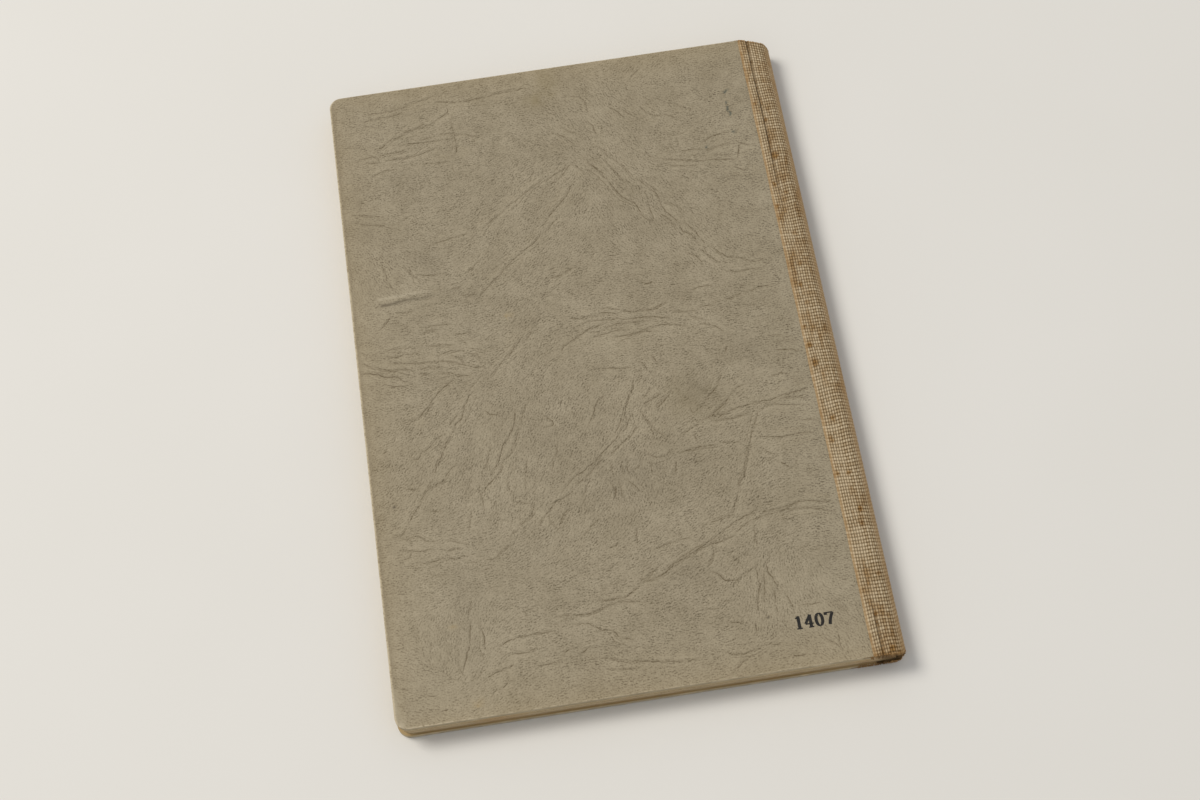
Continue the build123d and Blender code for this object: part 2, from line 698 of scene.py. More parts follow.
@dataclass(frozen=True)
class PhotoCamera:
    """The photograph's camera, found from the book's four edges in its 1200 x 800 pixels."""

    width_px: float = 1200.0
    focal_px: float = 1967.1
    centre_px: Pixel = (600.0, 400.0)
    place: Vector = Vector((-0.012907, -0.190184, 0.370656))
    aim: Vector = Vector((-0.000666, -0.00769, 0.0))
    roll: float = math.radians(-5.181)
    sensor_mm: float = 36.0
    near_clip: float = 0.01

    def axes(self) -> tuple[Vector, Vector, Vector]:
        """Work out the camera's directions.

        Returns:
            Right, up and forward, as unit vectors.
        """
        forward = (self.aim - self.place).normalized()
        turn = Matrix.Rotation(-self.roll, 3, forward)
        right = turn @ forward.cross(Vector((0, 0, 1))).normalized()
        return right, right.cross(forward), forward

    def cast(self, pixel: Pixel, height: float) -> Vector:
        """Find what a pixel of the photograph shows on a level plane.

        Args:
            pixel: Its place in the photograph.
            height: Height of the plane, in metres.

        Returns:
            The point on the plane.
        """
        right, up, forward = self.axes()
        across = (pixel[0] - self.centre_px[0]) / self.focal_px
        down = (pixel[1] - self.centre_px[1]) / self.focal_px
        ray = forward + right * across - up * down
        return self.place + ray * ((height - self.place.z) / ray.z)

    def build(self) -> None:
        """Put the camera into the scene."""
        right, up, forward = self.axes()
        data = bpy.data.cameras.new("photo_camera")
        data.sensor_width = self.sensor_mm
        data.lens = self.focal_px / self.width_px * self.sensor_mm
        data.shift_x = (self.width_px / 2 - self.centre_px[0]) / self.width_px
        data.clip_start = self.near_clip
        camera = bpy.data.objects.new("photo_camera", data)
        turn = Matrix((right, up, -forward)).transposed()
        camera.matrix_world = Matrix.Translation(self.place) @ turn.to_4x4()
        bpy.context.collection.objects.link(camera)
        bpy.context.scene.camera = camera


@dataclass(frozen=True)
class Studio:
    """Pale floor, soft world light and one large lamp at the upper left."""

    floor_size: float = 4.0
    floor_gap: float = 0.05 * MM
    sky: Colour = (0.97, 0.98, 1.0, 1.0)
    sky_strength: float = 0.53
    lamp_place: Vector = Vector((-1.35, 0.75, 1.8))
    lamp_size: float = 1.0
    lamp_power: float = 37.6
    lamp_colour: tuple[float, float, float] = (1.0, 0.97, 0.92)

    def build(self) -> None:
        """Put floor, world and lamp into the scene."""
        bpy.ops.object.select_all(action="DESELECT")
        bpy.ops.mesh.primitive_plane_add(size=self.floor_size, location=(0, 0, -self.floor_gap))
        floor = bpy.context.active_object
        floor.name = "studio_floor"
        bpy.ops.object.transform_apply(location=True, rotation=True, scale=True)
        coat(floor, PaleFloor().make("pale_floor"))
        floor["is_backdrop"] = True
        world = bpy.data.worlds.new("soft_sky")
        world.use_nodes = True
        background = world.node_tree.nodes["Background"]
        background.inputs["Color"].default_value = self.sky
        background.inputs["Strength"].default_value = self.sky_strength
        bpy.context.scene.world = world
        data = bpy.data.lights.new("window_lamp", "AREA")
        data.size = self.lamp_size
        data.energy = self.lamp_power
        data.color = self.lamp_colour
        lamp = bpy.data.objects.new("window_lamp", data)
        lamp.location = self.lamp_place
        lamp.rotation_euler = (-self.lamp_place).to_track_quat("-Z", "Y").to_euler()
        bpy.context.collection.objects.link(lamp)
        bpy.context.scene.view_settings.view_transform = "Standard"


# Side papers


@dataclass(frozen=True)
class Crease:
    """A crease, or a bundle of them side by side, marked on the photograph.

    The route is in the photograph's pixels, spread is the bundle's width in millimetres, and
    weight is how deep and dark it is beside the others.
    """

    route: tuple[Pixel, ...]
    strands: int = 1
    spread: float = 0.0
    weight: float = 1.0


@dataclass(frozen=True)
class Stain:
    """A soft spot on the side paper, at a pixel of the photograph, its reach in millimetres."""

    pixel: Pixel
    reach: tuple[float, float]
    ink: Ink
    strength: float


@dataclass
class Stroke:
    """One line pressed into the paper or drawn on it: centre line and half width in millimetres."""

    line: np.ndarray
    half_width: float
    depth: float = 0.0
    groove: float = 0.0
    ink: Ink | None = None
    strength: float = 0.0


def marked_routes(text: str) -> tuple[tuple[Pixel, ...], ...]:
    """Read routes that were marked on the photograph.

    Args:
        text: One route to a line, each of its pixels as X,Y.

    Returns:
        The routes, in the order of their lines.
    """
    routes = []
    for line in text.strip().splitlines():
        pixels = (mark.split(",") for mark in line.split())
        routes.append(tuple((float(x), float(y)) for x, y in pixels))
    return tuple(routes)


DEEP_CREASES = marked_routes("""
436,102 458,102 475,99 490,95 508,91 524,88
378,149 384,146 390,140 400,136 412,130 424,127 433,123 440,118 448,112 447,106
399,145 418,143 432,141 444,139
386,160 401,158 413,156 425,152 436,147
451,122 454,136 457,149 455,154
482,230 491,221 502,212
587,162 596,168 605,177 614,188 623,197 636,204 641,213 652,222
392,363 406,363 420,363 430,362 439,361 452,362 465,365 477,367 487,366
360,363 372,367 385,370 391,371 401,369 412,370
420,373 430,374
439,373 452,373 461,375 470,375
427,347 439,345 455,345
439,355 452,351 462,349
362,374 375,374 386,377 395,377 407,382
601,308 614,308 628,311 639,310 651,309 660,305 665,302
561,351 564,345 571,341 580,335 587,330 601,324
592,337 604,334 613,331 623,329
614,337 627,335 639,332 647,328 660,325 672,324 687,326
724,299 732,297 741,293
633,380 632,390 628,400 625,410 627,421 622,429 617,438 609,446 600,456 592,464 582,472 574,477
637,424 632,433 624,441 615,449 609,456
572,492 564,497 556,502 549,512 543,519 540,525
534,505 531,515 524,522 520,525
515,411 514,424 509,436 504,444 500,456 498,464 493,471
470,395 465,406 462,417 455,427 451,434 445,445 441,456 438,463 433,474
455,465 449,472 444,480 436,485 427,491 422,498
704,419 715,415 728,411 739,407 748,404 762,401 773,399 784,394 801,390 816,384
707,418 715,411 722,405 728,400
713,421 724,419 735,417 748,412
648,454 655,457 664,456 672,450
679,451 694,448 704,446 719,445
758,411 754,424 752,432 750,445 748,458 745,473 743,480
838,512 821,508 804,507 790,509 778,511
834,501 819,501 803,500 791,504 776,509 763,511
771,514 760,517 748,523 739,530 728,538 717,542 702,547 691,553 679,560 666,568
756,510 743,517 728,527 719,534 707,542 697,549 686,556 676,563 668,571 659,577 650,580 643,581
640,585 634,590 627,596 618,598 600,601
501,645 507,641 519,637 530,635 540,633 552,631
558,617 569,615 581,615 594,612 601,609 611,605 623,602 643,603
575,624 586,622 594,624 603,629 613,631 620,637 632,640
598,657 608,658 621,661 636,661 654,661 681,661 697,659
420,562 431,562 442,558 456,558 467,556
""")

PLAIN_CREASES = marked_routes("""
384,113 404,107 420,101 434,96
380,156 399,152 409,149
360,159 376,157 381,164
354,222 368,224 383,225 394,228
354,215 370,216 381,217
505,208 515,201 528,190 545,177
546,181 557,173 568,166
433,244 448,239 461,235 467,233
587,120 594,129 597,135
597,146 605,151 607,157
608,154 623,166 632,177 639,180 652,190 660,199
605,159 614,170 623,179 630,182
665,201 678,206 685,213
660,202 667,212 678,221 683,230 692,235 700,243
685,222 696,232 705,243
700,248 707,254 720,263
711,244 722,254 740,257 756,261 765,258
681,151 696,149 709,149 720,145 733,143
663,159 678,159 696,160 714,159 736,159
577,159 568,168 561,177 550,184
572,184 566,195 559,204 552,212
403,266 409,272 416,278 420,281
541,234 531,245 519,254 506,266 502,272 496,278 490,284 480,296
386,351 395,349 404,347
467,353 477,356 480,359
388,357 397,357 409,353
421,368 433,367 442,366
451,356 464,358
455,379 445,386 439,392 433,398
522,338 512,351 505,359 497,368 490,376
462,341 467,343
421,334 430,331 436,331
450,290 461,286
462,295 477,295
569,318 580,318 592,315 604,313 618,314
585,321 601,319 616,318 632,318 644,317 661,317 670,318
606,327 616,324 630,322 639,323
628,335 644,331 658,330
673,310 684,311 696,310
689,315 699,318 708,320
698,324 713,325 718,327 722,331
748,292 758,287 770,285
727,271 739,271 748,269 760,267
640,361 644,364 649,371
651,355 658,363
549,278 561,274 573,267
721,375 718,382
625,408 620,424 615,434
569,509 564,515 561,524
549,514 551,522 556,527
528,400 523,410 521,424
519,428 516,439 511,451 504,459
498,476 495,479 488,487 483,494 480,497
491,446 488,459 485,469
604,396 597,403 592,418 587,426
599,519 590,527 585,534
511,534 518,530
760,409 771,404 784,404 801,404 808,405
760,437 780,437 801,433 818,432
748,448 745,463 741,476 738,486
739,489 736,501 734,510 728,519
732,514 719,519 704,525
655,549 666,544 679,540 691,538
754,523 756,538 758,547
459,412 453,419 449,425
433,480 427,489 423,498 418,507 412,516 408,525
436,439 429,447 422,452 418,459 412,459
436,395 429,404 420,416 411,420
394,539 407,539 418,536 425,540 438,542
400,550 411,551 422,551 434,548
445,550 460,549
486,560 495,559 502,551 509,545
472,600 468,614
480,626 484,636 485,648 487,649
509,654 521,653 531,651 536,649
485,678 494,672 504,669 514,665
606,668 623,669 638,668
541,665 550,663 558,662
661,563 652,571 645,578 638,579
715,547 712,558 708,565
766,562 769,572 776,583 780,592
740,578 733,585
722,602 731,601
726,652 737,654 748,652 755,649
771,644 783,643
407,529 402,534 394,538
""")

FINE_CREASES = marked_routes("""
362,122 380,118 402,112
363,126 378,128
403,133 414,128 424,124
365,163 381,163
420,140 442,134 459,134 479,136
423,164 436,163 449,161
371,178 381,172 396,169
399,223 408,217 414,215
452,166 456,172
543,225 551,212 561,202
546,232 555,220 561,215
562,95 581,98 586,106 588,113
645,184 652,186 658,195
649,206 654,219
660,213 669,219 676,226
687,252 696,255 703,263
702,142 714,135 731,131
736,141 746,144 756,144
716,154 733,155
667,165 683,166 700,165
676,137 678,148
670,142 675,151
734,166 745,170 749,164
740,142 738,158
641,107 652,115 660,115
610,106 623,117
663,113 678,118
561,126 568,131 576,133
554,133 565,137 574,144
570,162 579,168 586,173
670,133 681,133 687,131
480,261 471,269 464,275
420,275 430,275 438,274
381,263 385,274 389,283 394,290
420,351 413,354 409,355
386,385 394,387 406,386
470,348 477,348
455,334 470,333
423,328 436,325 451,324
380,330 385,324 391,316
397,312 406,312 413,310
479,377 467,392
525,339 532,331
701,305 713,303
691,290 701,286 712,285
640,281 648,283 655,281
776,350 788,349 798,350
769,335 783,335
770,376 779,373 790,374
727,346 725,352
602,368 621,368 634,368
547,271 556,266
579,472 569,482 564,491
510,474 508,486
647,420 653,428
645,403 653,398
657,405 663,398
637,529 637,542
609,548 619,543
471,510 470,522 468,532
734,389 745,383
724,402 732,392
780,398 791,396 804,398
801,419 821,418
720,442 739,441
765,450 776,454
780,461 791,467
717,549 711,558
444,433 436,439
432,406 425,414
447,540 460,542 465,544
467,562 478,562
482,571 491,567
433,576 447,575
406,489 418,489
431,511 440,511
402,560 409,558 412,551
581,655 589,648 598,647
564,653 570,648
426,696 436,697
441,711 450,710
460,667 465,675
451,679 460,680
502,689 511,680
524,611 528,617
757,563 758,574 760,583 758,599 758,612
764,572 765,585 764,599
775,589 776,603 778,612
787,594 791,603 794,607
756,621 757,635
712,571 719,574 726,580 737,579 742,575 753,567
708,609 719,608
730,622 742,622
794,655 807,654
749,657 740,664 733,673
825,638 834,643 841,648
803,605 821,602
640,67 628,80
360,353 367,355
393,686 413,691
838,632 843,650
385,118 402,113
367,114 395,110
620,108 632,115
675,104 692,110
470,620 469,645 462,672
495,478 499,473 502,467 500,463
509,480 508,486 511,493
556,445 557,452 554,458 552,470
600,462 594,468 590,474 582,480 576,484
515,502 523,502 532,504
590,478 587,487 584,494
485,410 490,414 497,414
545,416 550,420 553,424 546,427
480,484 480,492 483,500 484,508
526,458 526,468 526,478 525,488
633,412 629,420 626,428 623,432
718,418 724,414 730,412
700,423 694,426 688,430 683,433
655,408 660,404 664,400 668,394 672,391
643,398 648,392 652,386
650,400 655,396 660,392
642,412 645,418 650,422 653,428 658,432 662,434
654,436 652,430 650,426
694,431 696,436 698,440
621,462 622,468 623,474
627,460 628,468 629,474
611,462 612,468 613,473
632,470 638,467 641,464
628,480 634,485 640,491
650,462 651,466 652,471
676,460 676,468 674,474
612,484 615,490 616,497
620,484 622,492 624,498
690,406 693,412 696,410
718,384 714,390 708,396
""")

BACK_SPREAD = 0.8
BACK_FAMILIES = ((DEEP_CREASES, 2, 1.3), (PLAIN_CREASES, 2, 1.08), (FINE_CREASES, 1, 1.0))
BACK_CREASES = tuple(
    Crease(route, strands, BACK_SPREAD, weight)
    for routes, strands, weight in BACK_FAMILIES
    for route in routes
)

FRONT_CREASES = (
    Crease(((352, 180), (420, 170), (480, 150)), 3, 1.4, 0.6),
    Crease(((560, 120), (610, 160), (680, 230)), 3, 1.8, 0.5),
    Crease(((380, 420), (450, 415), (520, 430)), 3, 1.2, 0.7),
    Crease(((620, 330), (700, 320), (780, 300)), 2, 1.0, 0.6),
    Crease(((430, 560), (520, 530), (600, 470)), 3, 1.6, 0.6),
    Crease(((640, 600), (720, 560), (800, 545)), 3, 1.4, 0.6),
    Crease(((470, 670), (560, 660), (640, 670)), 2, 1.0, 0.5),
)

BACK_STAINS = (
    Stain((546, 84), (2.2, 4.5), Ink.OLIVE, 0.36),
    Stain((533, 100), (2.0, 2.0), Ink.OLIVE, 0.34),
    Stain((696, 390), (3.4, 3.8), Ink.DIRT_AND_SHADE, 0.24),
    Stain((692, 396), (5.0, 4.4), Ink.OLIVE, 0.22),
    Stain((752, 352), (2.2, 2.6), Ink.DIRT_AND_SHADE, 0.12),
    Stain((740, 342), (3.4, 3.4), Ink.DIRT_AND_SHADE, 0.08),
    Stain((620, 478), (10.0, 7.0), Ink.DIRT_AND_SHADE, 0.12),
    Stain((640, 470), (3.6, 3.6), Ink.DIRT_AND_SHADE, 0.1),
    Stain((545, 440), (6.0, 6.0), Ink.DIRT_AND_SHADE, 0.07),
    Stain((691, 455), (6.0, 4.0), Ink.DIRT_AND_SHADE, 0.07),
    Stain((463, 592), (3.6, 8.0), Ink.DIRT_AND_SHADE, 0.08),
    Stain((683, 573), (5.0, 3.6), Ink.DIRT_AND_SHADE, 0.09),
    Stain((518, 549), (6.0, 3.0), Ink.DIRT_AND_SHADE, 0.07),
    Stain((400, 181), (6.0, 3.0), Ink.DIRT_AND_SHADE, 0.08),
    Stain((652, 222), (6.0, 8.0), Ink.DIRT_AND_SHADE, 0.06),
    Stain((368, 229), (3.0, 5.0), Ink.DIRT_AND_SHADE, 0.07),
    Stain((424, 258), (4.0, 3.0), Ink.DIRT_AND_SHADE, 0.1),
    Stain((612, 345), (8.0, 2.4), Ink.PALE, 0.2),
    Stain((482, 441), (1.8, 4.0), Ink.PALE, 0.22),
    Stain((809, 581), (7.0, 5.0), Ink.PALE, 0.18),
    Stain((408, 292), (6.0, 4.0), Ink.PALE, 0.1),
    Stain((447, 333), (5.0, 2.4), Ink.PALE, 0.1),
    Stain((432, 270), (2.5, 3.5), Ink.DIRT_AND_SHADE, 0.09),
    Stain((440, 330), (4.5, 2.2), Ink.DIRT_AND_SHADE, 0.09),
    Stain((471, 328), (1.6, 1.8), Ink.DIRT_AND_SHADE, 0.1),
    Stain((452, 290), (2.0, 1.0), Ink.DIRT_AND_SHADE, 0.12),
    Stain((471, 294), (2.0, 1.0), Ink.DIRT_AND_SHADE, 0.12),
    Stain((467, 448), (1.4, 2.2), Ink.DIRT_AND_SHADE, 0.1),
    Stain((470, 640), (2.0, 9.0), Ink.DIRT_AND_SHADE, 0.07),
    Stain((762, 552), (2.0, 2.2), Ink.DIRT_AND_SHADE, 0.09),
    Stain((716, 573), (1.6, 1.6), Ink.DIRT_AND_SHADE, 0.09),
    Stain((581, 650), (4.5, 1.6), Ink.DIRT_AND_SHADE, 0.08),
    Stain((785, 464), (2.4, 1.4), Ink.DIRT_AND_SHADE, 0.08),
    Stain((828, 566), (2.6, 1.8), Ink.DIRT_AND_SHADE, 0.07),
    Stain((640, 284), (1.6, 1.6), Ink.DIRT_AND_SHADE, 0.08),
    Stain((600, 410), (1.5, 2.5), Ink.DIRT_AND_SHADE, 0.08),
    Stain((548, 398), (2.0, 1.2), Ink.DIRT_AND_SHADE, 0.08),
    # These three broad pale patches make the paper lighter towards the lower-left corner, near the spine at
    # the tail and along the fore edge.
    Stain((430, 660), (22.0, 24.0), Ink.PALE, 0.16),
    Stain((830, 640), (7.0, 9.0), Ink.PALE, 0.12),
    Stain((362, 350), (5.0, 22.0), Ink.PALE, 0.12),
    Stain((392.6, 692), (0.45, 2.6), Ink.RUBBED, 0.45),
    Stain((394.4, 705), (0.5, 2.4), Ink.RUBBED, 0.55),
    Stain((396.6, 717), (0.6, 1.8), Ink.RUBBED, 0.6),
    Stain((400.5, 727), (1.1, 1.0), Ink.RUBBED, 0.3),
    Stain((366.5, 452), (0.4, 3.0), Ink.RUBBED, 0.35),
    Stain((350.8, 300), (0.4, 3.5), Ink.RUBBED, 0.35),
)

PEN_LINES = (
    ((727.2, 89.5), (724.8, 91.8), (724.5, 95.4)),
    ((725.4, 100.7), (727.2, 105.5), (727.4, 109.0), (729.9, 111.4), (730.6, 113.2), (729.9, 115.5)),
)

BACK_SPECKS = (
    ((733, 131), 0.22, Ink.PEN),
    ((706, 147), 0.3, Ink.PEN),
    ((394, 507), 0.3, Ink.DIRT_AND_SHADE),
    ((768, 617), 0.36, Ink.DIRT_AND_SHADE),
    ((506, 316), 0.3, Ink.TAN),
    ((478, 706), 0.3, Ink.TAN),
    ((453, 626), 0.25, Ink.TAN),
)


@dataclass(frozen=True)
class Welt:
    """A long blister raised under the paper, its ridge marked on the photograph.

    It is widest and highest at the first point. A painted highlight runs along its upper side, and
    painted shade along the side away from the light.
    """

    ridge: tuple[Pixel, ...] = ((379, 303), (395, 300.5), (415, 295), (435, 291.5), (470, 286))
    # The second route is the line of painted highlight, the third the line of painted shade.
    rubbed: tuple[Pixel, ...] = ((380, 299.5), (400, 296), (415, 293), (428, 291))
    painted_shade: tuple[Pixel, ...] = ((381, 306), (392, 304), (402, 301), (412, 299), (422, 298), (432, 295))
    line_reach: float = 0.36
    half_width: float = 1.0
    height: float = 0.2


def smooth_path(corners: np.ndarray, step: float) -> np.ndarray:
    """Draw a smooth curve through a few points.

    Args:
        corners: The points, one row each.
        step: About how far apart the curve's points are.

    Returns:
        Points along the curve.
    """
    ends = np.vstack([2 * corners[0] - corners[1], corners, 2 * corners[-1] - corners[-2]])
    points = []
    for before, first, last, after in zip(ends, ends[1:], ends[2:], ends[3:]):
        count = max(2, math.ceil(float(np.linalg.norm(last - first)) / step))
        for part in np.linspace(0, 1, count, endpoint=False):
            swing = (last - before) * part + (2 * before - 5 * first + 4 * last - after) * part**2
            swing = swing + (3 * first - before - 3 * last + after) * part**3
            points.append(first + swing / 2)
    points.append(corners[-1])
    return np.array(points)


def run_and_side(path: np.ndarray) -> tuple[np.ndarray, np.ndarray]:
    """Find which way a flat path runs, and the way to its left.

    Args:
        path: Its points, one row each.

    Returns:
        Unit vectors along the path and to its left, one row for each point.
    """
    way = np.gradient(path, axis=0)
    way /= np.maximum(np.linalg.norm(way, axis=1), 1e-9)[:, None]
    return way, np.stack([-way[:, 1], way[:, 0]], 1)


@dataclass
class SidePaper:
    """One leatherette side paper, embossed, creased and worn, in place of its plain solid."""

    cover: Cover
    creases: tuple[Crease, ...]
    stains: tuple[Stain, ...]
    pen_lines: tuple[tuple[Pixel, ...], ...]
    specks: tuple[tuple[Pixel, float, Ink], ...]
    welt: Welt | None
    camera: PhotoCamera
    seed: int
    stroke_pitch: float = 1.45
    corner_radius: float = 2.6
    skin_drop: float = 0.14
    swell: float = 0.025
    rim_insets: tuple[float, ...] = (0.0, 0.1, 0.26, 0.6)
    rim_drops: tuple[float, ...] = (0.07, 0.025, 0.006, 0.0)
    rim_wear: tuple[float, ...] = (1.0, 0.9, 0.4, 0.0)
    spine_insets: tuple[float, ...] = (0.0, 0.3, 0.7, 1.2)
    spine_drops: tuple[float, ...] = (0.05, 0.022, 0.006, 0.0)
    margin: float = 0.75
    # Strength and reach of the painted shade beside the creases.
    halo: float = 0.1
    halo_reach: float = 0.45
    ridge: float = 0.013
    ridge_away: float = 0.63
    ridge_reach: float = 0.28
    # Strength of the painted highlight on the low ridges beside the creases.
    ridge_highlight: float = 0.16
    crease_step: float = 0.5
    crease_wave: float = 0.26
    crease_jitter: float = 0.035
    dash_steps: tuple[int, int] = (7, 22)
    dash_jump: float = 0.08
    crease_half: tuple[float, float] = (0.14, 0.22)
    crease_depth: float = 0.055
    crease_dark: float = 0.9
    second_force: float = 0.6
    grain_long: tuple[float, float] = (0.3, 0.95)
    grain_half: tuple[float, float] = (0.08, 0.14)
    grain_depth: float = 0.03
    grain_dark: float = 0.55
    flow_reach: float = 5.5
    loose_pitch: float = 2.6
    loose_shift: float = 0.8
    crossing_depth: float = 0.015
    crossing_dark: float = 0.3
    broad_mm: float = 17.0
    close_mm: float = 6.0
    fore_line_at: float = 0.65
    fore_line_reach: float = 0.35
    fore_line_dark: float = 0.24
    cloud_mm: float = 1.6
    crowd_mm: float = 8.0
    ragged: float = 0.09
    ragged_mm: float = 7.0
    ragged_inset: float = 0.05

    def __post_init__(self) -> None:
        """Take the sizes of the solid, in millimetres, and start the random numbers."""
        box = Box.of(f"{self.cover.side}_side_paper")
        self.low = np.array(box.low) / MM
        self.high = np.array(box.high) / MM
        self.dice = random.Random(self.seed)

    def on_paper(self, pixels: Sequence[Pixel]) -> np.ndarray:
        """Carry marked pixels on to the paper's face.

        Args:
            pixels: Places in the photograph.

        Returns:
            Their X and Y on the paper, in millimetres.
        """
        spots = [self.camera.cast(pixel, SOLID_BOX[1][2]) / MM for pixel in pixels]
        return np.array([(spot.x, spot.y) for spot in spots])

    def outline(self) -> tuple[np.ndarray, np.ndarray]:
        """Walk round the paper's edge, from the tail corner at the spine, anticlockwise.

        Returns:
            The edge's points and, for each, the way inwards.
        """
        radius = self.corner_radius
        left, tail = self.low[:2]
        right, head = self.high[:2]
        spots: list[tuple[float, float, float, float]] = []
        spots.append((right, tail, -1, 1))
        for height in np.linspace(tail, head, 110)[1:-1]:
            ragged = self.ragged * noise.noise(Vector((self.seed, height / self.ragged_mm, 0)))
            spots.append((right + ragged - self.ragged_inset, height, -1, 0))
        spots.append((right, head, -1, -1))
        for across in np.linspace(right, left + radius, 70)[1:]:
            spots.append((across, head, 0, -1))
        spots.extend(self.rounded(left + radius, head - radius, math.pi / 2))
        for height in np.linspace(head - radius, tail + radius, 105)[1:]:
            spots.append((left, height, 1, 0))
        spots.extend(self.rounded(left + radius, tail + radius, math.pi))
        for across in np.linspace(left + radius, right, 70)[1:-1]:
            spots.append((across, tail, 0, 1))
        table = np.array(spots)
        return table[:, :2], table[:, 2:]

    def rounded(self, x: float, y: float, begin: float) -> Iterator[tuple[float, float, float, float]]:
        """Walk round one corner of the paper, a quarter of a circle.

        Args:
            x: X of the circle's middle, in millimetres.
            y: Its Y.
            begin: Angle at which the walk starts.

        Yields:
            X and Y of one point, and the way inwards.
        """
        for turn in np.linspace(begin, begin + math.pi / 2, 9)[1:]:
            way = (math.cos(turn), math.sin(turn))
            yield (x + self.corner_radius * way[0], y + self.corner_radius * way[1], -way[0], -way[1])

    def holds(self, points: np.ndarray) -> np.ndarray:
        """Tell which points lie well inside the paper's edge.

        Args:
            points: X and Y of each, in millimetres.

        Returns:
            True for each point inside.
        """
        inside = (points > self.low[:2] + self.margin).all(1) & (points[:, 1] < self.high[1] - self.margin)
        inside &= points[:, 0] < self.high[0] - self.spine_insets[-1] - 0.15
        reach = self.corner_radius
        beside = self.low[0] + reach - points[:, 0]
        beyond = np.abs(points[:, 1]) - (self.high[1] - reach)
        corner = (beside > 0) & (beyond > 0)
        return inside & ~(corner & (np.hypot(beside, beyond) > reach - self.margin))

    def flow_at(self, points: np.ndarray) -> np.ndarray:
        """Find the way the grain runs, from the creases near each point.

        Args:
            points: X and Y of each, in millimetres.

        Returns:
            Cosine and sine of twice the grain's angle, for each point.
        """
        middles = []
        ways = []
        for crease in self.creases:
            path = self.on_paper(crease.route)
            for first, last in zip(path, path[1:]):
                angle = 2 * math.atan2(last[1] - first[1], last[0] - first[0])
                length = float(np.linalg.norm(last - first))
                middles.append((first + last) / 2)
                ways.append((math.cos(angle) * length, math.sin(angle) * length))
        flow = np.tile((0.6, 0.0), (len(points), 1))
        for middle, way in zip(np.array(middles), np.array(ways)):
            near = np.exp(-((points - middle) ** 2).sum(1) / (2 * self.flow_reach**2))
            flow += near[:, None] * way
        return flow / np.maximum(np.linalg.norm(flow, axis=1), 1e-6)[:, None]

    def crease_strokes(self) -> Iterator[Stroke]:
        """Break the creases up into the dashes that they are made of.

        Yields:
            One stroke for each dash.
        """
        dice = self.dice
        for crease in self.creases:
            path = smooth_path(self.on_paper(crease.route), self.crease_step)
            _, side = run_and_side(path)
            for strand in range(crease.strands):
                begin = dice.gauss(0, crease.spread) if strand else 0.0
                end = dice.gauss(0, crease.spread) if strand else 0.0
                shift = np.linspace(begin, end, len(path))
                phase = dice.uniform(0, 100)
                waves = [
                    self.crease_wave * noise.noise(Vector((phase + step * 0.3, strand, 0)))
                    for step in range(len(path))
                ]
                jitter = [dice.gauss(0, self.crease_jitter) for _ in path]
                line = path + side * (shift + np.array(waves) + np.array(jitter))[:, None]
                start = dice.randrange(0, 5) if strand else 0
                while start < len(line) - 2:
                    length = dice.randrange(*self.dash_steps)
                    jump = dice.gauss(0, self.dash_jump)
                    dash = line[start : start + length] + side[start : start + length] * jump
                    start += length - 1 + dice.randrange(0, 2)
                    dash = dash[self.holds(dash)]
                    if len(dash) < 3:
                        continue
                    force = crease.weight * dice.uniform(0.65, 1.1) * (self.second_force if strand else 1.0)
                    half = dice.uniform(*self.crease_half)
                    yield Stroke(dash, half, self.crease_depth * force, min(1.0, self.crease_dark * force))

    def crease_sides(self) -> Iterator[np.ndarray]:
        """Lay loose points on the low ridges beside each crease.

        Yields:
            One point.
        """
        for crease in self.creases:
            path = smooth_path(self.on_paper(crease.route), 1.3)
            _, side = run_and_side(path)
            for offset in (-self.ridge_away, self.ridge_away):
                line = path + side * offset
                yield from line[self.holds(line)]

    def crease_sway(self, flat: np.ndarray) -> tuple[np.ndarray, np.ndarray]:
        """Find the soft shade beside each crease, and the low ridges beyond the shade.

        Args:
            flat: X and Y of the points, in millimetres.

        Returns:
            For each point how dark it gets, and how far up the ridge it is, from 0 to 1.
        """
        spots = []
        weights = []
        for crease in self.creases:
            path = smooth_path(self.on_paper(crease.route), 0.4)
            for number, spot in enumerate(path):
                spots.append(spot)
                weights.append(crease.weight * min(1.0, 0.4 + min(number, len(path) - 1 - number) / 4))
        tree = KDTree(len(spots))
        for number, spot in enumerate(spots):
            tree.insert((spot[0], spot[1], 0), number)
        tree.balance()
        away = np.zeros(len(flat))
        weight = np.zeros(len(flat))
        for number, (x, y) in enumerate(flat):
            _, nearest, away[number] = tree.find((x, y, 0))
            weight[number] = weights[nearest]
        shade = self.halo * weight * np.exp(-((away / self.halo_reach) ** 2))
        ridge = weight * np.exp(-(((away - self.ridge_away) / self.ridge_reach) ** 2))
        return shade, np.clip(ridge, 0, 1)

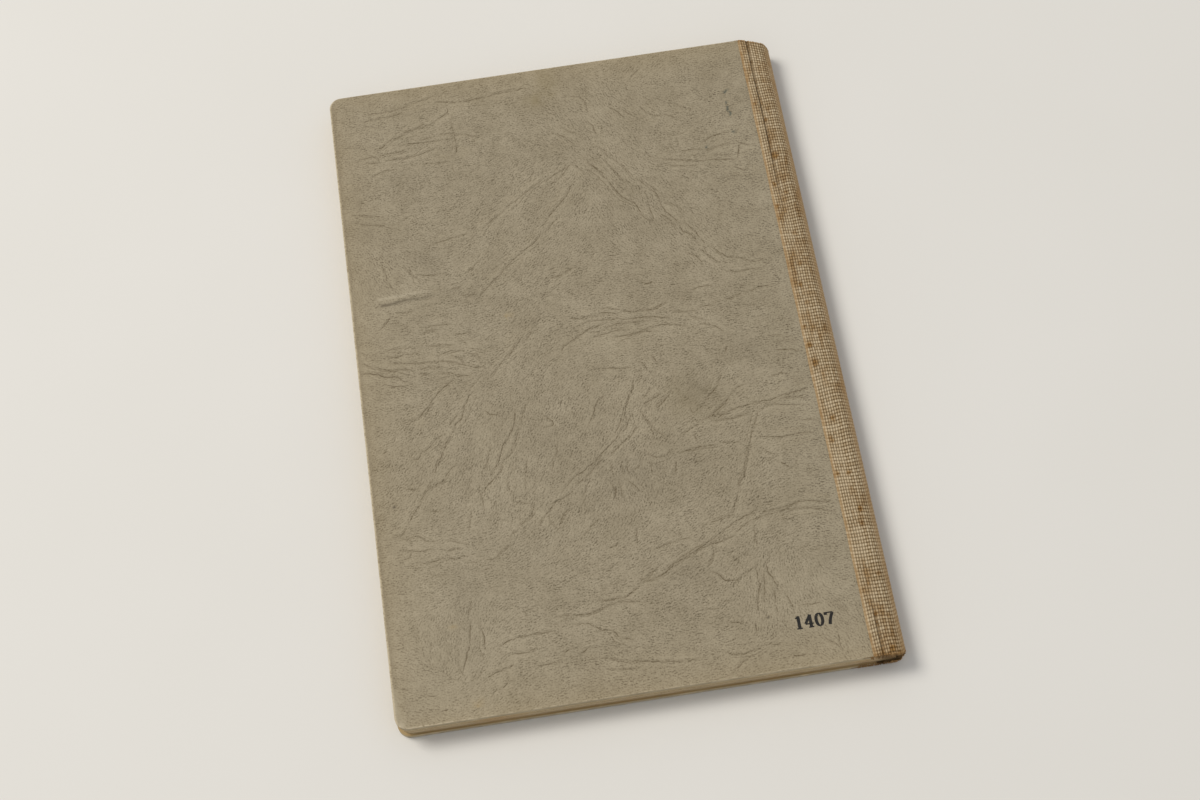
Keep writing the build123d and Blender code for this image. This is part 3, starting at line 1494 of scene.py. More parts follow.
    def grain_strokes(self) -> Iterator[Stroke]:
        """Scatter the short pressed strokes of the grain, thicker in some places than in others.

        Yields:
            One stroke for each.
        """
        dice = self.dice
        pitch = self.stroke_pitch
        spots = []
        for x in np.arange(self.low[0] + 1, self.high[0] - 1, pitch):
            for y in np.arange(self.low[1] + 1, self.high[1] - 1, pitch):
                spot = (x + dice.uniform(-0.6, 0.6) * pitch, y + dice.uniform(-0.6, 0.6) * pitch)
                where = Vector((spot[0] / self.crowd_mm, spot[1] / self.crowd_mm, self.seed))
                crowd = noise.noise(where) + 0.5
                if dice.random() < 0.35 + 0.7 * crowd:
                    spots.append(spot)
        places = np.array(spots)
        flows = self.flow_at(places)
        for place, flow in zip(places, flows):
            angle = math.atan2(flow[1], flow[0]) / 2 + dice.gauss(0, 0.3)
            bend = dice.gauss(0, 0.35)
            half = dice.uniform(*self.grain_long)
            parts = np.linspace(-1, 1, 4)
            along = np.array((math.cos(angle), math.sin(angle)))
            across = np.array((-along[1], along[0]))
            line = place + parts[:, None] * half * along + (parts**2 * bend * half * 0.5)[:, None] * across
            if self.holds(line).all():
                force = dice.uniform(0.3, 1.0)
                width = dice.uniform(*self.grain_half)
                yield Stroke(line, width, self.grain_depth * force, self.grain_dark * force)

    def mark_strokes(self) -> Iterator[Stroke]:
        """Draw the pen lines and the small specks.

        Yields:
            One stroke for each.
        """
        for pixels in self.pen_lines:
            yield Stroke(smooth_path(self.on_paper(pixels), 0.4), 0.2, ink=Ink.PEN, strength=0.8)
        for pixel, reach, ink in self.specks:
            centre = self.on_paper([pixel])[0]
            line = centre + np.linspace(-1, 1, 5)[:, None] * np.array((reach, 0.15 * reach))
            yield Stroke(line, reach * 0.9, ink=ink, strength=0.8)

    def welt_height(self, points: np.ndarray) -> np.ndarray:
        """Give how far the blister lifts the paper.

        Args:
            points: X and Y of each, in millimetres.

        Returns:
            The lift at each point, in millimetres.
        """
        if self.welt is None:
            return np.zeros(len(points))
        ridge = smooth_path(self.on_paper(self.welt.ridge), 0.4)
        lift = np.zeros(len(points))
        for number, spot in enumerate(ridge):
            part = number / (len(ridge) - 1)
            reach = self.welt.half_width * (1 - 0.55 * part)
            high = self.welt.height * min(1.0, 0.35 + 8 * part) * (1 - part) ** 1.1
            lift = np.maximum(lift, high * np.exp(-((points - spot) ** 2).sum(1) / reach**2))
        return lift

    def tint_welt(self, flat: np.ndarray, mark: np.ndarray) -> None:
        """Paint a highlight along the blister's upper side, and shade along its lower side.

        Args:
            flat: X and Y of the points, in millimetres.
            mark: Colour and strength of each point's mark, changed.
        """
        if self.welt is None:
            return
        # The pale line is a painted highlight and the dark line is painted shade, for the light on the
        # blister's two sides.
        for pixels, ink, most in ((self.welt.rubbed, Ink.RUBBED, 0.35), (self.welt.painted_shade, Ink.DIRT_AND_SHADE, 0.85)):
            line = smooth_path(self.on_paper(pixels), 0.3)
            strength = np.zeros(len(flat))
            for number, spot in enumerate(line):
                fade = most * (1 - 0.65 * number / len(line))
                away = ((flat - spot) ** 2).sum(1) / self.welt.line_reach**2
                strength = np.maximum(strength, fade * np.exp(-away))
            self.tint(mark, ink, strength)

    def welt_points(self) -> Iterator[np.ndarray]:
        """Lay rows of points along the blister, so that the mesh can follow it.

        Yields:
            One row of points.
        """
        if self.welt is None:
            return
        ridge = smooth_path(self.on_paper(self.welt.ridge), 0.6)
        _, side = run_and_side(ridge)
        for offset in np.linspace(-2.2, 2.2, 15):
            yield from ridge + side * offset

    def build(self) -> bpy.types.Object:
        """Triangulate the paper with every stroke as a groove, and close it underneath.

        Returns:
            The finished piece.
        """
        spots: list[Any] = []
        edges: list[tuple[int, int]] = []
        notes: list[tuple[float, float, float, Ink | None, float]] = []
        ring, inwards = self.outline()
        count = len(ring)
        open_rim = zip(self.rim_insets, self.rim_drops, self.rim_wear)
        for (inset, drop, wear), tuck, fall in zip(open_rim, self.spine_insets, self.spine_drops):
            first = len(spots)
            for number, (spot, way) in enumerate(zip(ring, inwards)):
                at_spine = way[0] < -0.9
                reach = np.array((tuck if at_spine else inset, inset))
                spots.append(spot + way * reach)
                notes.append((fall if at_spine else drop, 0.0, 0.0 if at_spine else wear, None, 0.0))
                edges.append((first + number, first + (number + 1) % count))
        loose = []
        shift = self.loose_shift
        for x in np.arange(self.low[0] + 2, self.high[0] - 1, self.loose_pitch):
            for y in np.arange(self.low[1] + 2, self.high[1] - 1, self.loose_pitch):
                across = x + self.dice.uniform(-shift, shift)
                loose.append(np.array((across, y + self.dice.uniform(-shift, shift))))
        for spot in (*loose, *self.welt_points(), *self.crease_sides()):
            spots.append(spot)
            notes.append((0.0, 0.0, 0.0, None, 0.0))
        for family in (self.crease_strokes(), self.grain_strokes(), self.mark_strokes()):
            for stroke in family:
                self.lay_stroke(stroke, spots, edges, notes)
        flat = [Vector((float(spot[0]), float(spot[1]))) for spot in spots]
        places, _, faces, sources, _, _ = delaunay_2d_cdt(flat, edges, [], 1, 1e-6, True)
        return self.raise_mesh(places, faces, sources, notes, count)

    @staticmethod
    def lay_stroke(stroke: Stroke, spots: list[Any], edges: list[Any], notes: list[Any]) -> None:
        """Add a stroke's middle line and its two rims to the points of the paper.

        Args:
            stroke: The stroke.
            spots: Points of the paper, added to.
            edges: Lines of the paper, added to.
            notes: Depth, groove, wear and ink of each point, added to.
        """
        line = stroke.line
        _, side = run_and_side(line)
        last = len(line) - 1
        rows = []
        for number, spot in enumerate(line):
            taper = math.sin(math.pi * (0.08 + 0.84 * number / last)) ** 0.6
            first = len(spots)
            if number in (0, last):
                spots.append(spot)
                notes.append((0.0, stroke.groove * 0.2, 0.0, stroke.ink, stroke.strength * 0.5))
                rows.append((first, first, first))
                continue
            width = stroke.half_width * taper
            uneven = noise.noise(Vector((spot[0] * 1.9, spot[1] * 1.9, 5.0)))
            bead = min(1.0, max(0.25, 0.78 + 1.2 * uneven))
            for offset, part in ((-width, 0.0), (0.0, 1.0), (width, 0.0)):
                spots.append(spot + side[number] * offset)
                fade = stroke.strength * (1.0 if part else 0.55)
                dark = stroke.groove * part * bead
                notes.append((stroke.depth * part * taper, dark, 0.0, stroke.ink, fade))
            rows.append((first, first + 1, first + 2))
        for here, there in zip(rows, rows[1:]):
            for begin, end in set(zip(here, there)):
                edges.append((begin, end))

    def raise_mesh(
        self, places: Any, faces: Any, sources: Any, notes: list[Any], count: int
    ) -> bpy.types.Object:
        """Give the flat triangles their heights, a wall and a closed underside.

        Args:
            places: X and Y of the triangulated points.
            faces: The triangles.
            sources: For each point, the points that it came from.
            notes: Depth, groove, wear and ink of the points that it came from.
            count: Number of points round the edge.

        Returns:
            The piece, with its attributes.
        """
        flat = np.array([(place.x, place.y) for place in places])
        total = len(flat)
        depth = np.zeros(total)
        groove = np.zeros(total)
        wear = np.zeros(total)
        mark = np.zeros((total, 4))
        rim = {}
        for number, origin in enumerate(sources):
            if not origin:
                depth[number] = self.crossing_depth
                groove[number] = self.crossing_dark
            for source in origin:
                sunk, dark, worn, ink, strength = notes[source]
                depth[number] = max(depth[number], sunk)
                groove[number] = max(groove[number], dark)
                wear[number] = max(wear[number], worn)
                if ink is not None and strength > mark[number, 3]:
                    mark[number] = (*ink.value[:3], strength)
                if source < count:
                    rim[source] = number
        border = set(rim.values())
        faces = [face for face in faces if not border.issuperset(face)]
        shade, ridge = self.crease_sway(flat)
        # The soft shade beside each crease is painted shade, laid into the groove colour.
        groove = np.maximum(groove, shade)
        lift = self.welt_height(flat) + self.ridge * ridge
        broad = self.cloud(flat, self.broad_mm, self.seed)
        close = self.cloud(flat, self.close_mm, 9)
        swell = broad + 0.5 * close
        thickness = self.high[2] - self.low[2]
        calm = np.clip(np.minimum(flat - self.low[:2], self.high[:2] - flat).min(1) / 2, 0, 1)
        height = thickness - self.skin_drop + self.swell * swell * calm + lift - depth
        self.age_edges(flat, wear, mark)
        # Painted highlight on the low ridges beside the creases.
        self.tint(mark, Ink.PALE, self.ridge_highlight * ridge)
        outer = self.high[2] if self.cover is Cover.BACK else self.low[2]
        way = self.cover.value
        board = outer - way * thickness
        points = [(x * MM, y * MM, (board + way * up) * MM) for (x, y), up in zip(flat, height)]
        under = [(points[rim[number]][0], points[rim[number]][1], board * MM) for number in range(count)]
        points.extend(under)
        skin = [tuple(face) if way > 0 else tuple(reversed(face)) for face in faces]
        for number in range(count):
            beyond = (number + 1) % count
            wall = (rim[number], total + number, total + beyond, rim[beyond])
            skin.append(wall if way > 0 else tuple(reversed(wall)))
        floor = tuple(range(total, total + count))
        skin.append(tuple(reversed(floor)) if way > 0 else floor)
        piece = mesh_piece(f"{self.cover.side}_leatherette", points, skin)
        flow = np.zeros((total + count, 3))
        flow[:total, :2] = self.flow_at(flat)
        store(piece, "flow", "FLOAT_VECTOR", flow)
        store(piece, "groove", "FLOAT", np.concatenate([np.clip(groove, 0, 1), np.zeros(count)]))
        store(piece, "wear", "FLOAT", np.concatenate([wear, np.full(count, 0.8)]))
        store(piece, "mark", "FLOAT_COLOR", np.vstack([mark, np.zeros((count, 4))]))
        return piece

    def age_edges(self, flat: np.ndarray, wear: np.ndarray, mark: np.ndarray) -> None:
        """Rub the edges pale, turn the paper beside them tan, and lay the soft stains.

        Args:
            flat: X and Y of the points, in millimetres.
            wear: Wear of each point, changed.
            mark: Colour and strength of each point's mark, changed.
        """
        fore = flat[:, 0] - self.low[0]
        tail = flat[:, 1] - self.low[1]
        head = self.high[1] - flat[:, 1]
        corner = np.exp(-(np.hypot(fore, tail) / 16) ** 2)
        strength = np.where(fore < 1.0, 0.75 + 0.3 * corner, 0.4 + 0.3 * corner)
        wear *= strength
        beside = np.minimum(tail, head)
        # Darkens a thin line 0.65 mm inside the fore edge.
        fore_line = np.exp(-(((fore - self.fore_line_at) / self.fore_line_reach) ** 2))
        self.tint(mark, Ink.DIRT_AND_SHADE, self.fore_line_dark * fore_line)
        near = np.maximum(0.45 * np.exp(-fore / 1.3), 0.3 * np.exp(-beside / 1.2))
        self.tint(mark, Ink.TAN, np.maximum(near, 0.25 * np.exp(-np.minimum(fore, beside) / 5)))
        self.tint_welt(flat, mark)
        cloudy = 1 + self.cloud(flat, self.cloud_mm, 4)
        for stain in self.stains:
            centre = self.on_paper([stain.pixel])[0]
            away = ((flat - centre) / np.array(stain.reach)) ** 2
            self.tint(mark, stain.ink, np.clip(stain.strength * cloudy * np.exp(-away.sum(1)), 0, 1))

    @staticmethod
    def cloud(flat: np.ndarray, size: float, layer: float) -> np.ndarray:
        """Give soft noise at each point.

        Args:
            flat: X and Y of the points, in millimetres.
            size: Width of its blotches, in millimetres.
            layer: Which of many patterns it is.

        Returns:
            The noise, around 0.
        """
        return np.array([noise.noise(Vector((x / size, y / size, layer))) for x, y in flat])

    @staticmethod
    def tint(mark: np.ndarray, ink: Ink, strength: np.ndarray) -> None:
        """Lay a colour under the marks that are there.

        Args:
            mark: Colour and strength of each point's mark, changed.
            ink: The colour.
            strength: How much of it each point gets.
        """
        under = strength * (1 - mark[:, 3])
        total = np.maximum(mark[:, 3] + under, 1e-6)
        mixed = mark[:, :3] * mark[:, 3:] + np.array(ink.value[:3]) * under[:, None]
        mark[:, :3] = mixed / total[:, None]
        mark[:, 3] += under

    def dress(self, piece: bpy.types.Object) -> None:
        """Give the piece its finish and its place among the bodies.

        Args:
            piece: The built piece.
        """
        activate(piece)
        bpy.ops.object.shade_smooth_by_angle(angle=math.radians(55))
        coat(piece, Leatherette().make(f"{self.cover.side}_leatherette"))
        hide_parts(f"{self.cover.side}_side_paper")
        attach(piece, self.cover.body)


# Stamped number


@dataclass
class NumberStamp:
    """Four plain digits stamped on the back cover near the tail, drawn with a broad pen."""

    digits: str = "1407"
    left: float = 29.4
    foot: float = -66.25
    height: float = 2.7
    pitch: float = 2.05
    thick: float = 0.235
    thin: float = 0.095
    film: float = 0.02
    proud: float = 0.006
    step: float = 0.04
    stack: float = 0.002
    swing: float = 1.5
    middle: tuple[float, float] = (4.0, 1.3)
    window: tuple[float, float] = (6.0, 3.0)

    def strokes(self, digit: str) -> Iterator[list[tuple[float, float]]]:
        """Give the pen strokes of a digit, in a box one unit high.

        Args:
            digit: One of the digits that the stamp has.

        Yields:
            The points of one stroke.
        """
        if digit == "0":
            turns = np.linspace(0, 2 * math.pi, 33)
            yield [(0.31 + 0.23 * math.cos(turn), 0.5 + 0.46 * math.sin(turn)) for turn in turns]
        elif digit == "1":
            yield [(0.33, 0.0), (0.33, 0.5), (0.33, 0.98)]
            yield [(0.36, 0.95), (0.24, 0.86), (0.12, 0.83)]
            yield [(0.12, 0.03), (0.33, 0.03), (0.54, 0.03)]
        elif digit == "4":
            yield [(0.42, 0.0), (0.42, 0.5), (0.42, 0.98)]
            yield [(0.45, 0.97), (0.23, 0.63), (0.03, 0.31)]
            yield [(0.02, 0.29), (0.32, 0.29), (0.62, 0.29)]
            yield [(0.24, 0.03), (0.42, 0.03), (0.6, 0.03)]
        elif digit == "7":
            yield [(0.04, 0.93), (0.3, 0.93), (0.58, 0.93)]
            yield [(0.06, 0.98), (0.06, 0.88), (0.05, 0.76)]
            yield [(0.57, 0.93), (0.4, 0.55), (0.3, 0.25), (0.27, 0.02)]

    def build(self, rest: bpy.types.Object) -> bpy.types.Object:
        """Lay the digits on the side paper.

        Args:
            rest: The side paper's piece.

        Returns:
            The finished piece.
        """
        near = [
            vertex.co.z
            for vertex in rest.data.vertices
            if abs(vertex.co.x / MM - self.left - self.middle[0]) < self.window[0]
            and abs(vertex.co.y / MM - self.foot - self.middle[1]) < self.window[1]
        ]
        level = max(near) + self.proud * MM
        points: list[tuple[float, float, float]] = []
        faces: list[tuple[int, ...]] = []
        for place, digit in enumerate(self.digits):
            for layer, stroke in enumerate(self.strokes(digit)):
                line = smooth_path(np.array(stroke), self.step)
                way, _ = run_and_side(line)
                first = len(points)
                for spot, run in zip(line, way):
                    half = (self.thin + (self.thick - self.thin) * abs(run[1]) ** self.swing) / 2
                    for side in (-half, half):
                        x = self.left + place * self.pitch + (spot[0] - run[1] * side) * self.height
                        y = self.foot + (spot[1] + run[0] * side) * self.height
                        points.append((x * MM, y * MM, level + layer * self.stack * MM))
                for number in range(len(line) - 1):
                    start = first + 2 * number
                    faces.append((start, start + 2, start + 3, start + 1))
        piece = mesh_piece("cover_number", points, faces)
        face_outwards(piece)
        apply_modifier(piece, "SOLIDIFY", thickness=self.film * MM, offset=-1.0)
        return piece

    def dress(self, piece: bpy.types.Object) -> None:
        """Give the digits their ink and their place among the bodies.

        Args:
            piece: The built piece.
        """
        coat(piece, StampInk().make("stamp_ink"))
        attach(piece, Cover.BACK.body)


# Spine cloth


CLOTH_SPOTS = (
    ((754.6, 103.6), 0.45, 0.7),
    ((765.6, 118.9), 0.5, 0.6),
    ((769.8, 104.5), 0.4, 0.4),
    ((774.6, 155.0), 0.75, 0.8),
    ((768.0, 90.0), 0.4, 0.4),
    ((757.0, 128.5), 0.4, 0.4),
    ((774.3, 184.0), 0.6, 0.55),
    ((785.4, 191.6), 0.5, 0.6),
    ((777.0, 206.3), 0.55, 0.75),
    ((779.4, 218.0), 0.5, 0.6),
    ((799.7, 214.8), 0.5, 0.5),
    ((794.0, 232.7), 0.5, 0.5),
    ((793.5, 254.0), 0.5, 0.6),
    ((799.3, 262.0), 0.6, 0.6),
    ((800.6, 284.5), 0.5, 0.7),
    ((807.3, 302.3), 0.6, 0.5),
    ((804.7, 327.0), 0.5, 0.6),
    ((809.2, 344.0), 0.6, 0.75),
    ((814.5, 362.0), 0.7, 0.75),
    ((832.9, 418.0), 0.6, 0.7),
    ((831.5, 439.6), 0.6, 0.6),
    ((837.5, 473.4), 0.6, 0.6),
    ((848.7, 472.5), 0.5, 0.6),
    ((860.3, 508.2), 0.42, 0.95),
    ((862.0, 522.5), 0.4, 0.7),
    ((863.4, 561.8), 0.5, 0.55),
    ((878.6, 573.4), 0.6, 0.55),
    ((868.5, 583.0), 0.7, 0.55),
    ((876.2, 613.0), 0.6, 0.65),
    ((888.9, 615.0), 0.6, 0.5),
    ((893.4, 648.0), 0.7, 0.8),
)


# The head end of the spine is worn down: how far, and over which stretch of X, in millimetres
HEAD_WEAR = 1.5
HEAD_WEAR_FROM = 44.0
HEAD_WEAR_OVER = 4.0


def worn_head(x: np.ndarray) -> np.ndarray:
    """Give how far the head end of the spine is worn down.

    Args:
        x: X of the points, in millimetres.

    Returns:
        The distance from the head edge, in millimetres.
    """
    return HEAD_WEAR * np.clip((x - HEAD_WEAR_FROM) / HEAD_WEAR_OVER, 0, 1)


@dataclass
class ClothHalf:
    """Half of the linen strip, from the middle of the spine to its edge under one side paper."""

    cover: Cover
    camera: PhotoCamera
    seed: int
    spots: tuple[tuple[Pixel, float, float], ...] = ()
    weft_pitch: float = 0.745
    warp_pitch: float = 0.52
    samples: int = 4
    thread_rise: float = 0.05
    thread_round: float = 0.06
    sunk: float = 0.0
    lining: float = 0.3
    crease_depth: float = 0.26
    crease_width: float = 0.18
    crease_from_spine: float = 4.8
    corner_radius: float = 1.8
    tucked: float = 2.0
    pressed: float = 0.75
    press_width: float = 0.45
    band: float = 1.3
    fray_turn: float = 1.5
    hollow_x: float = 45.2
    hollow_reach: float = 1.1
    wear_start: float = 60.0
    end_rust: tuple[float, float] = (0.65, 0.7)
    end_reach: tuple[float, float] = (1.2, 2.2)
    fold_reach: float = 0.3
    fold_rust: float = 0.35
    spot_reach: tuple[float, float] = (1.3, 1.7)
    spot_rust: float = 1.2
    thread_thick: float = 0.16
    tube_sides: int = 5

    def __post_init__(self) -> None:
        """Take the sizes of the solids, in millimetres."""
        spine = Box.of("spine_cloth")
        strip = Box.of(f"{self.cover.side}_cover_cloth")
        self.middle = (spine.low.z + spine.high.z) / 2 / MM
        self.radius = (spine.high.z - spine.low.z) / 2 / MM
        self.spine_x = spine.high.x / MM
        self.hinge_x = self.spine_x - self.radius
        self.edge_x = strip.low.x / MM
        self.half_length = spine.high.y / MM
        self.crease_x = self.spine_x - self.crease_from_spine
        self.flat_run = self.hinge_x - self.edge_x
        self.width = self.flat_run + self.radius * math.pi / 2
        self.columns = round(self.width / self.warp_pitch)
        self.rows = round(2 * self.half_length / self.weft_pitch)
        self.dice = random.Random(self.seed)
        self.tones = [self.dice.random() for _ in range(self.columns + self.rows + 2)]

    def profile(self, run: np.ndarray, along: np.ndarray, inset: float) -> tuple[np.ndarray, ...]:
        """Follow the strip's cross-section from its hidden edge to the middle of the spine.

        Args:
            run: Distance from the hidden edge, in millimetres.
            along: Y of the same points.
            inset: How far below the outer face.

        Returns:
            X, height above the middle, and the outward direction's X and height.
        """
        turn = np.clip((run - self.flat_run) / self.radius, 0, math.pi / 2)
        out_x = np.sin(turn)
        out_up = np.cos(turn)
        level = np.clip(run, 0, self.flat_run)
        x = self.edge_x + level + (self.radius - inset) * out_x
        waver = 0.1 * np.sin(along / 11 + self.seed) + 0.05 * np.sin(along / 3.7)
        dip = self.crease_depth * self.creased(along)
        dip = dip * np.exp(-(((x - self.crease_x - waver) / self.crease_width) ** 2))
        up = (self.radius - inset) * out_up - dip * (turn <= 0)
        return x, up, out_x, out_up

    @staticmethod
    def creased(along: np.ndarray) -> np.ndarray:
        """Tell how sharp the crease is: sharpest near the head, faint in the middle.

        Args:
            along: Y, in millimetres.

        Returns:
            Its sharpness, up to 1.
        """
        head = np.clip((along - 25) / 20, 0, 1)
        tail = 0.7 * np.clip((-along - 62) / 4, 0, 1)
        return 0.12 + 0.88 * np.maximum(head, tail)

    def weave(self, across: np.ndarray, down: np.ndarray) -> tuple[np.ndarray, np.ndarray, np.ndarray]:
        """Work out a plain weave whose weft is thick and whose warp is thin.

        Args:
            across: Place across the strip, counted in warp threads.
            down: Place along the strip, counted in weft threads.

        Returns:
            Height of the upper thread, how far it stands clear of the gaps, and its own tone.
        """
        column = np.round(across).astype(int)
        row = np.round(down).astype(int)
        bulge = 0.5 - 0.5 * np.cos(math.pi * (across + np.round(down + 0.1)))
        weft_round = np.clip(1 - (2 * (down - row) / 0.98) ** 2, 0, 1)
        warp_round = np.clip(1 - (2 * (across - column) / 0.9) ** 2, 0, 1)
        weft_high = self.thread_rise * (2 * bulge - 1) + self.thread_round * weft_round**0.5
        warp_high = self.thread_rise * (1 - 2 * bulge) + self.thread_round * warp_round**0.5
        weft_clear = (0.35 + 0.65 * bulge) * weft_round * (1 - 2.2 * (across - column) ** 2)
        warp_clear = (0.35 + 0.6 * (1 - bulge)) * warp_round * (1 - 2.2 * (down - row) ** 2)
        tones = np.array(self.tones)
        tone = np.where(weft_clear > warp_clear, tones[row], tones[self.rows + column])
        return np.maximum(warp_high, weft_high), np.maximum(weft_clear, warp_clear), tone

    def grid(self, name: str, across: int, down: int) -> bpy.types.Object:
        """Add a flat grid that the strip is formed from.

        Args:
            name: The grid's name.
            across: Its faces across the strip.
            down: Its faces along the strip.

        Returns:
            The grid, one unit wide and long.
        """
        bpy.ops.object.select_all(action="DESELECT")
        bpy.ops.mesh.primitive_grid_add(x_subdivisions=across, y_subdivisions=down, size=1)
        piece = bpy.context.active_object
        piece.name = name
        return piece

    def form(self, piece: bpy.types.Object, inset: float, woven: bool) -> None:
        """Bend a grid round the spine, and weave its face.

        Args:
            piece: The flat grid.
            inset: How far below the outer face it lies, in millimetres.
            woven: Whether the threads stand out.
        """
        flat = np.zeros(len(piece.data.vertices) * 3)
        piece.data.vertices.foreach_get("co", flat)
        flat = flat.reshape(-1, 3)
        across = (flat[:, 0] + 0.5) * self.columns
        down = (flat[:, 1] + 0.5) * self.rows
        run = (flat[:, 0] + 0.5) * self.width
        along = flat[:, 1] * 2 * self.half_length
        drift = 0.1 * np.sin(along / 5.3 + run / 3 + self.seed) + 0.05 * np.sin(along / 2.1)
        sway = 0.16 * np.sin(run / 2.3 + along / 9) + 0.1 * np.sin(along / 4.4 + run)
        run = run + drift * np.sin(math.pi * run / self.width)
        along = along + sway * np.clip((self.half_length - np.abs(along)) / 2, 0, 1)
        x, up, out_x, out_up = self.profile(run, along, inset + self.sunk)
        past = np.clip(x - (self.spine_x - self.corner_radius), 0, self.corner_radius)
        reach = self.half_length - self.corner_radius + np.sqrt(self.corner_radius**2 - past**2)
        along *= reach / self.half_length
        near_head = (along - self.wear_start) / (self.half_length - self.wear_start)
        along -= worn_head(x) * np.clip(near_head, 0, 1)
        top = self.thread_rise + self.thread_round
        relief = np.full(len(run), -top)
        crown = np.full(len(run), 0.5)
        tone = np.full(len(run), 0.3)
        if woven:
            relief, crown, tone = self.weave(across, down)
            pressed = self.pressed * np.exp(-(((x - self.edge_x - self.tucked) / self.press_width) ** 2))
            relief = (relief - top) * (1 - pressed)
            crown = crown + (0.6 - crown) * pressed
        x = x + out_x * relief
        up = up + out_up * relief
        z = self.middle + self.cover.value * up
        place = np.stack([x, along, z], 1) * MM
        piece.data.vertices.foreach_set("co", place.ravel())
        rim = np.clip((run - self.flat_run - self.band) / 1.1, 0, 1)
        inner = np.exp(-(((x - self.edge_x - 2.2) / 0.4) ** 2))
        head_end = self.end_rust[0] * np.exp(-(self.half_length - along) / self.end_reach[0])
        tail_end = self.end_rust[1] * np.exp(-(self.half_length + along) / self.end_reach[1])
        fold = np.exp(-(((x - self.crease_x) / self.fold_reach) ** 2))
        fold = fold * (run < self.flat_run) * self.creased(along)
        # The rim term lightens the spine's round, which faces away from the lamp: rubbed wear and painted
        # light. The inner term lightens a band just past the side paper's edge.
        wear_and_light = np.clip(0.45 * rim + 0.25 * inner, 0, 0.5)
        rust = np.clip(head_end + tail_end + self.fold_rust * fold, 0, 0.95)
        for pixel, reach, strength in self.spots:
            centre = self.camera.cast(pixel, self.middle * MM + self.radius * MM) / MM
            away = ((x - centre.x) / reach / self.spot_reach[0]) ** 2
            away = away + ((along - centre.y) / reach / self.spot_reach[1]) ** 2
            rust = np.maximum(rust, self.spot_rust * strength * np.exp(-away))
        # Painted shade along the crease: the crown is lowered there, which darkens the threads.
        crown = crown * (1 - 0.7 * fold)
        store(piece, "thread", "FLOAT", (tone - 0.5) * 0.55)
        store(piece, "crown", "FLOAT", crown)
        store(piece, "wear_and_light", "FLOAT", wear_and_light)
        store(piece, "rust", "FLOAT", rust)

    def fray(self) -> bpy.types.Object:
        """Make the loose thread ends at head and tail, turned down over the board's edge.

        Returns:
            All thread ends as one mesh.
        """
        points: list[tuple[float, float, float]] = []
        faces: list[tuple[int, ...]] = []
        crowns: list[float] = []
        way = self.cover.value
        for column in np.arange(self.tucked - 0.5, self.width - 0.3, self.warp_pitch * 0.6):
            for end in (-1, 1):
                first = len(points)
                run = np.array([column + self.dice.uniform(-0.15, 0.15)])
                x, up, _, out_up = self.profile(run, np.array([end * 70.0]), self.thread_thick + self.sunk)
                past = float(np.clip(x[0] - (self.spine_x - self.corner_radius), 0, self.corner_radius))
                reach = self.corner_radius - math.sqrt(self.corner_radius**2 - past**2)
                edge = self.half_length - reach - (float(worn_head(x)[0]) if end > 0 else 0.0)
                turn = self.fray_turn * self.dice.uniform(0.45, 1.0) * float(out_up[0])
                lean = self.dice.gauss(0, 0.18)
                route = np.array(
                    [
                        (x[0], end * (edge - 0.25), up[0]),
                        (x[0] + lean * 0.2, end * (edge + 0.06), up[0] - 0.02),
                        (x[0] + lean * 0.6, end * (edge + 0.12), up[0] - 0.45 * turn),
                        (x[0] + lean, end * (edge + 0.1), up[0] - turn),
                    ]
                )
                self.thread_end(smooth_path(route, self.thread_thick), points, faces, way)
                # Thread ends at the tail near the hollow between spine and leaves get a low crown: painted
                # shade.
                hollow = math.exp(-(((x[0] - self.hollow_x) / self.hollow_reach) ** 2)) if end < 0 else 0.0
                crown = self.dice.uniform(0.3, 0.8) * (1 - hollow)
                crowns.extend([crown] * (len(points) - first))
        piece = mesh_piece("thread_ends", points, faces)
        count = len(points)
        tones = [self.dice.uniform(-0.3, 0.2) for _ in range(count // self.tube_sides)]
        store(piece, "thread", "FLOAT", np.repeat(tones, self.tube_sides))
        store(piece, "crown", "FLOAT", np.array(crowns))
        store(piece, "wear_and_light", "FLOAT", np.full(count, 0.2))
        store(piece, "rust", "FLOAT", np.full(count, 0.75))
        return piece

    def thread_end(self, line: np.ndarray, points: list[Any], faces: list[Any], way: int) -> None:
        """Draw one loose thread end as a thin tube that tapers.

        Args:
            line: Its middle line: X, Y and height above the middle, in millimetres.
            points: Points of the mesh, added to.
            faces: Faces of the mesh, added to.
            way: 1 for the upper cover, -1 for the lower one.
        """
        run = np.gradient(line, axis=0)
        run /= np.linalg.norm(run, axis=1)[:, None]
        first = len(points)
        last = len(line) - 1
        count = self.tube_sides
        for number, (spot, ahead) in enumerate(zip(line, run)):
            beside = np.cross(ahead, (1.0, 0.0, 0.0))
            beside /= np.linalg.norm(beside)
            over = np.cross(ahead, beside)
            thick = self.thread_thick * (1 - 0.5 * (number / last) ** 2)
            for turn in np.arange(count) * 2 * math.pi / count:
                place = spot + thick * (math.cos(turn) * beside + math.sin(turn) * over)
                points.append((place[0] * MM, place[1] * MM, (self.middle + way * place[2]) * MM))
        for number in range(last):
            for side in range(count):
                here = first + count * number + side
                beyond = first + count * number + (side + 1) % count
                faces.append((here, beyond, beyond + count, here + count))
        faces.append(tuple(first + count * last + side for side in range(count)))
        faces.append(tuple(first + side for side in reversed(range(count))))

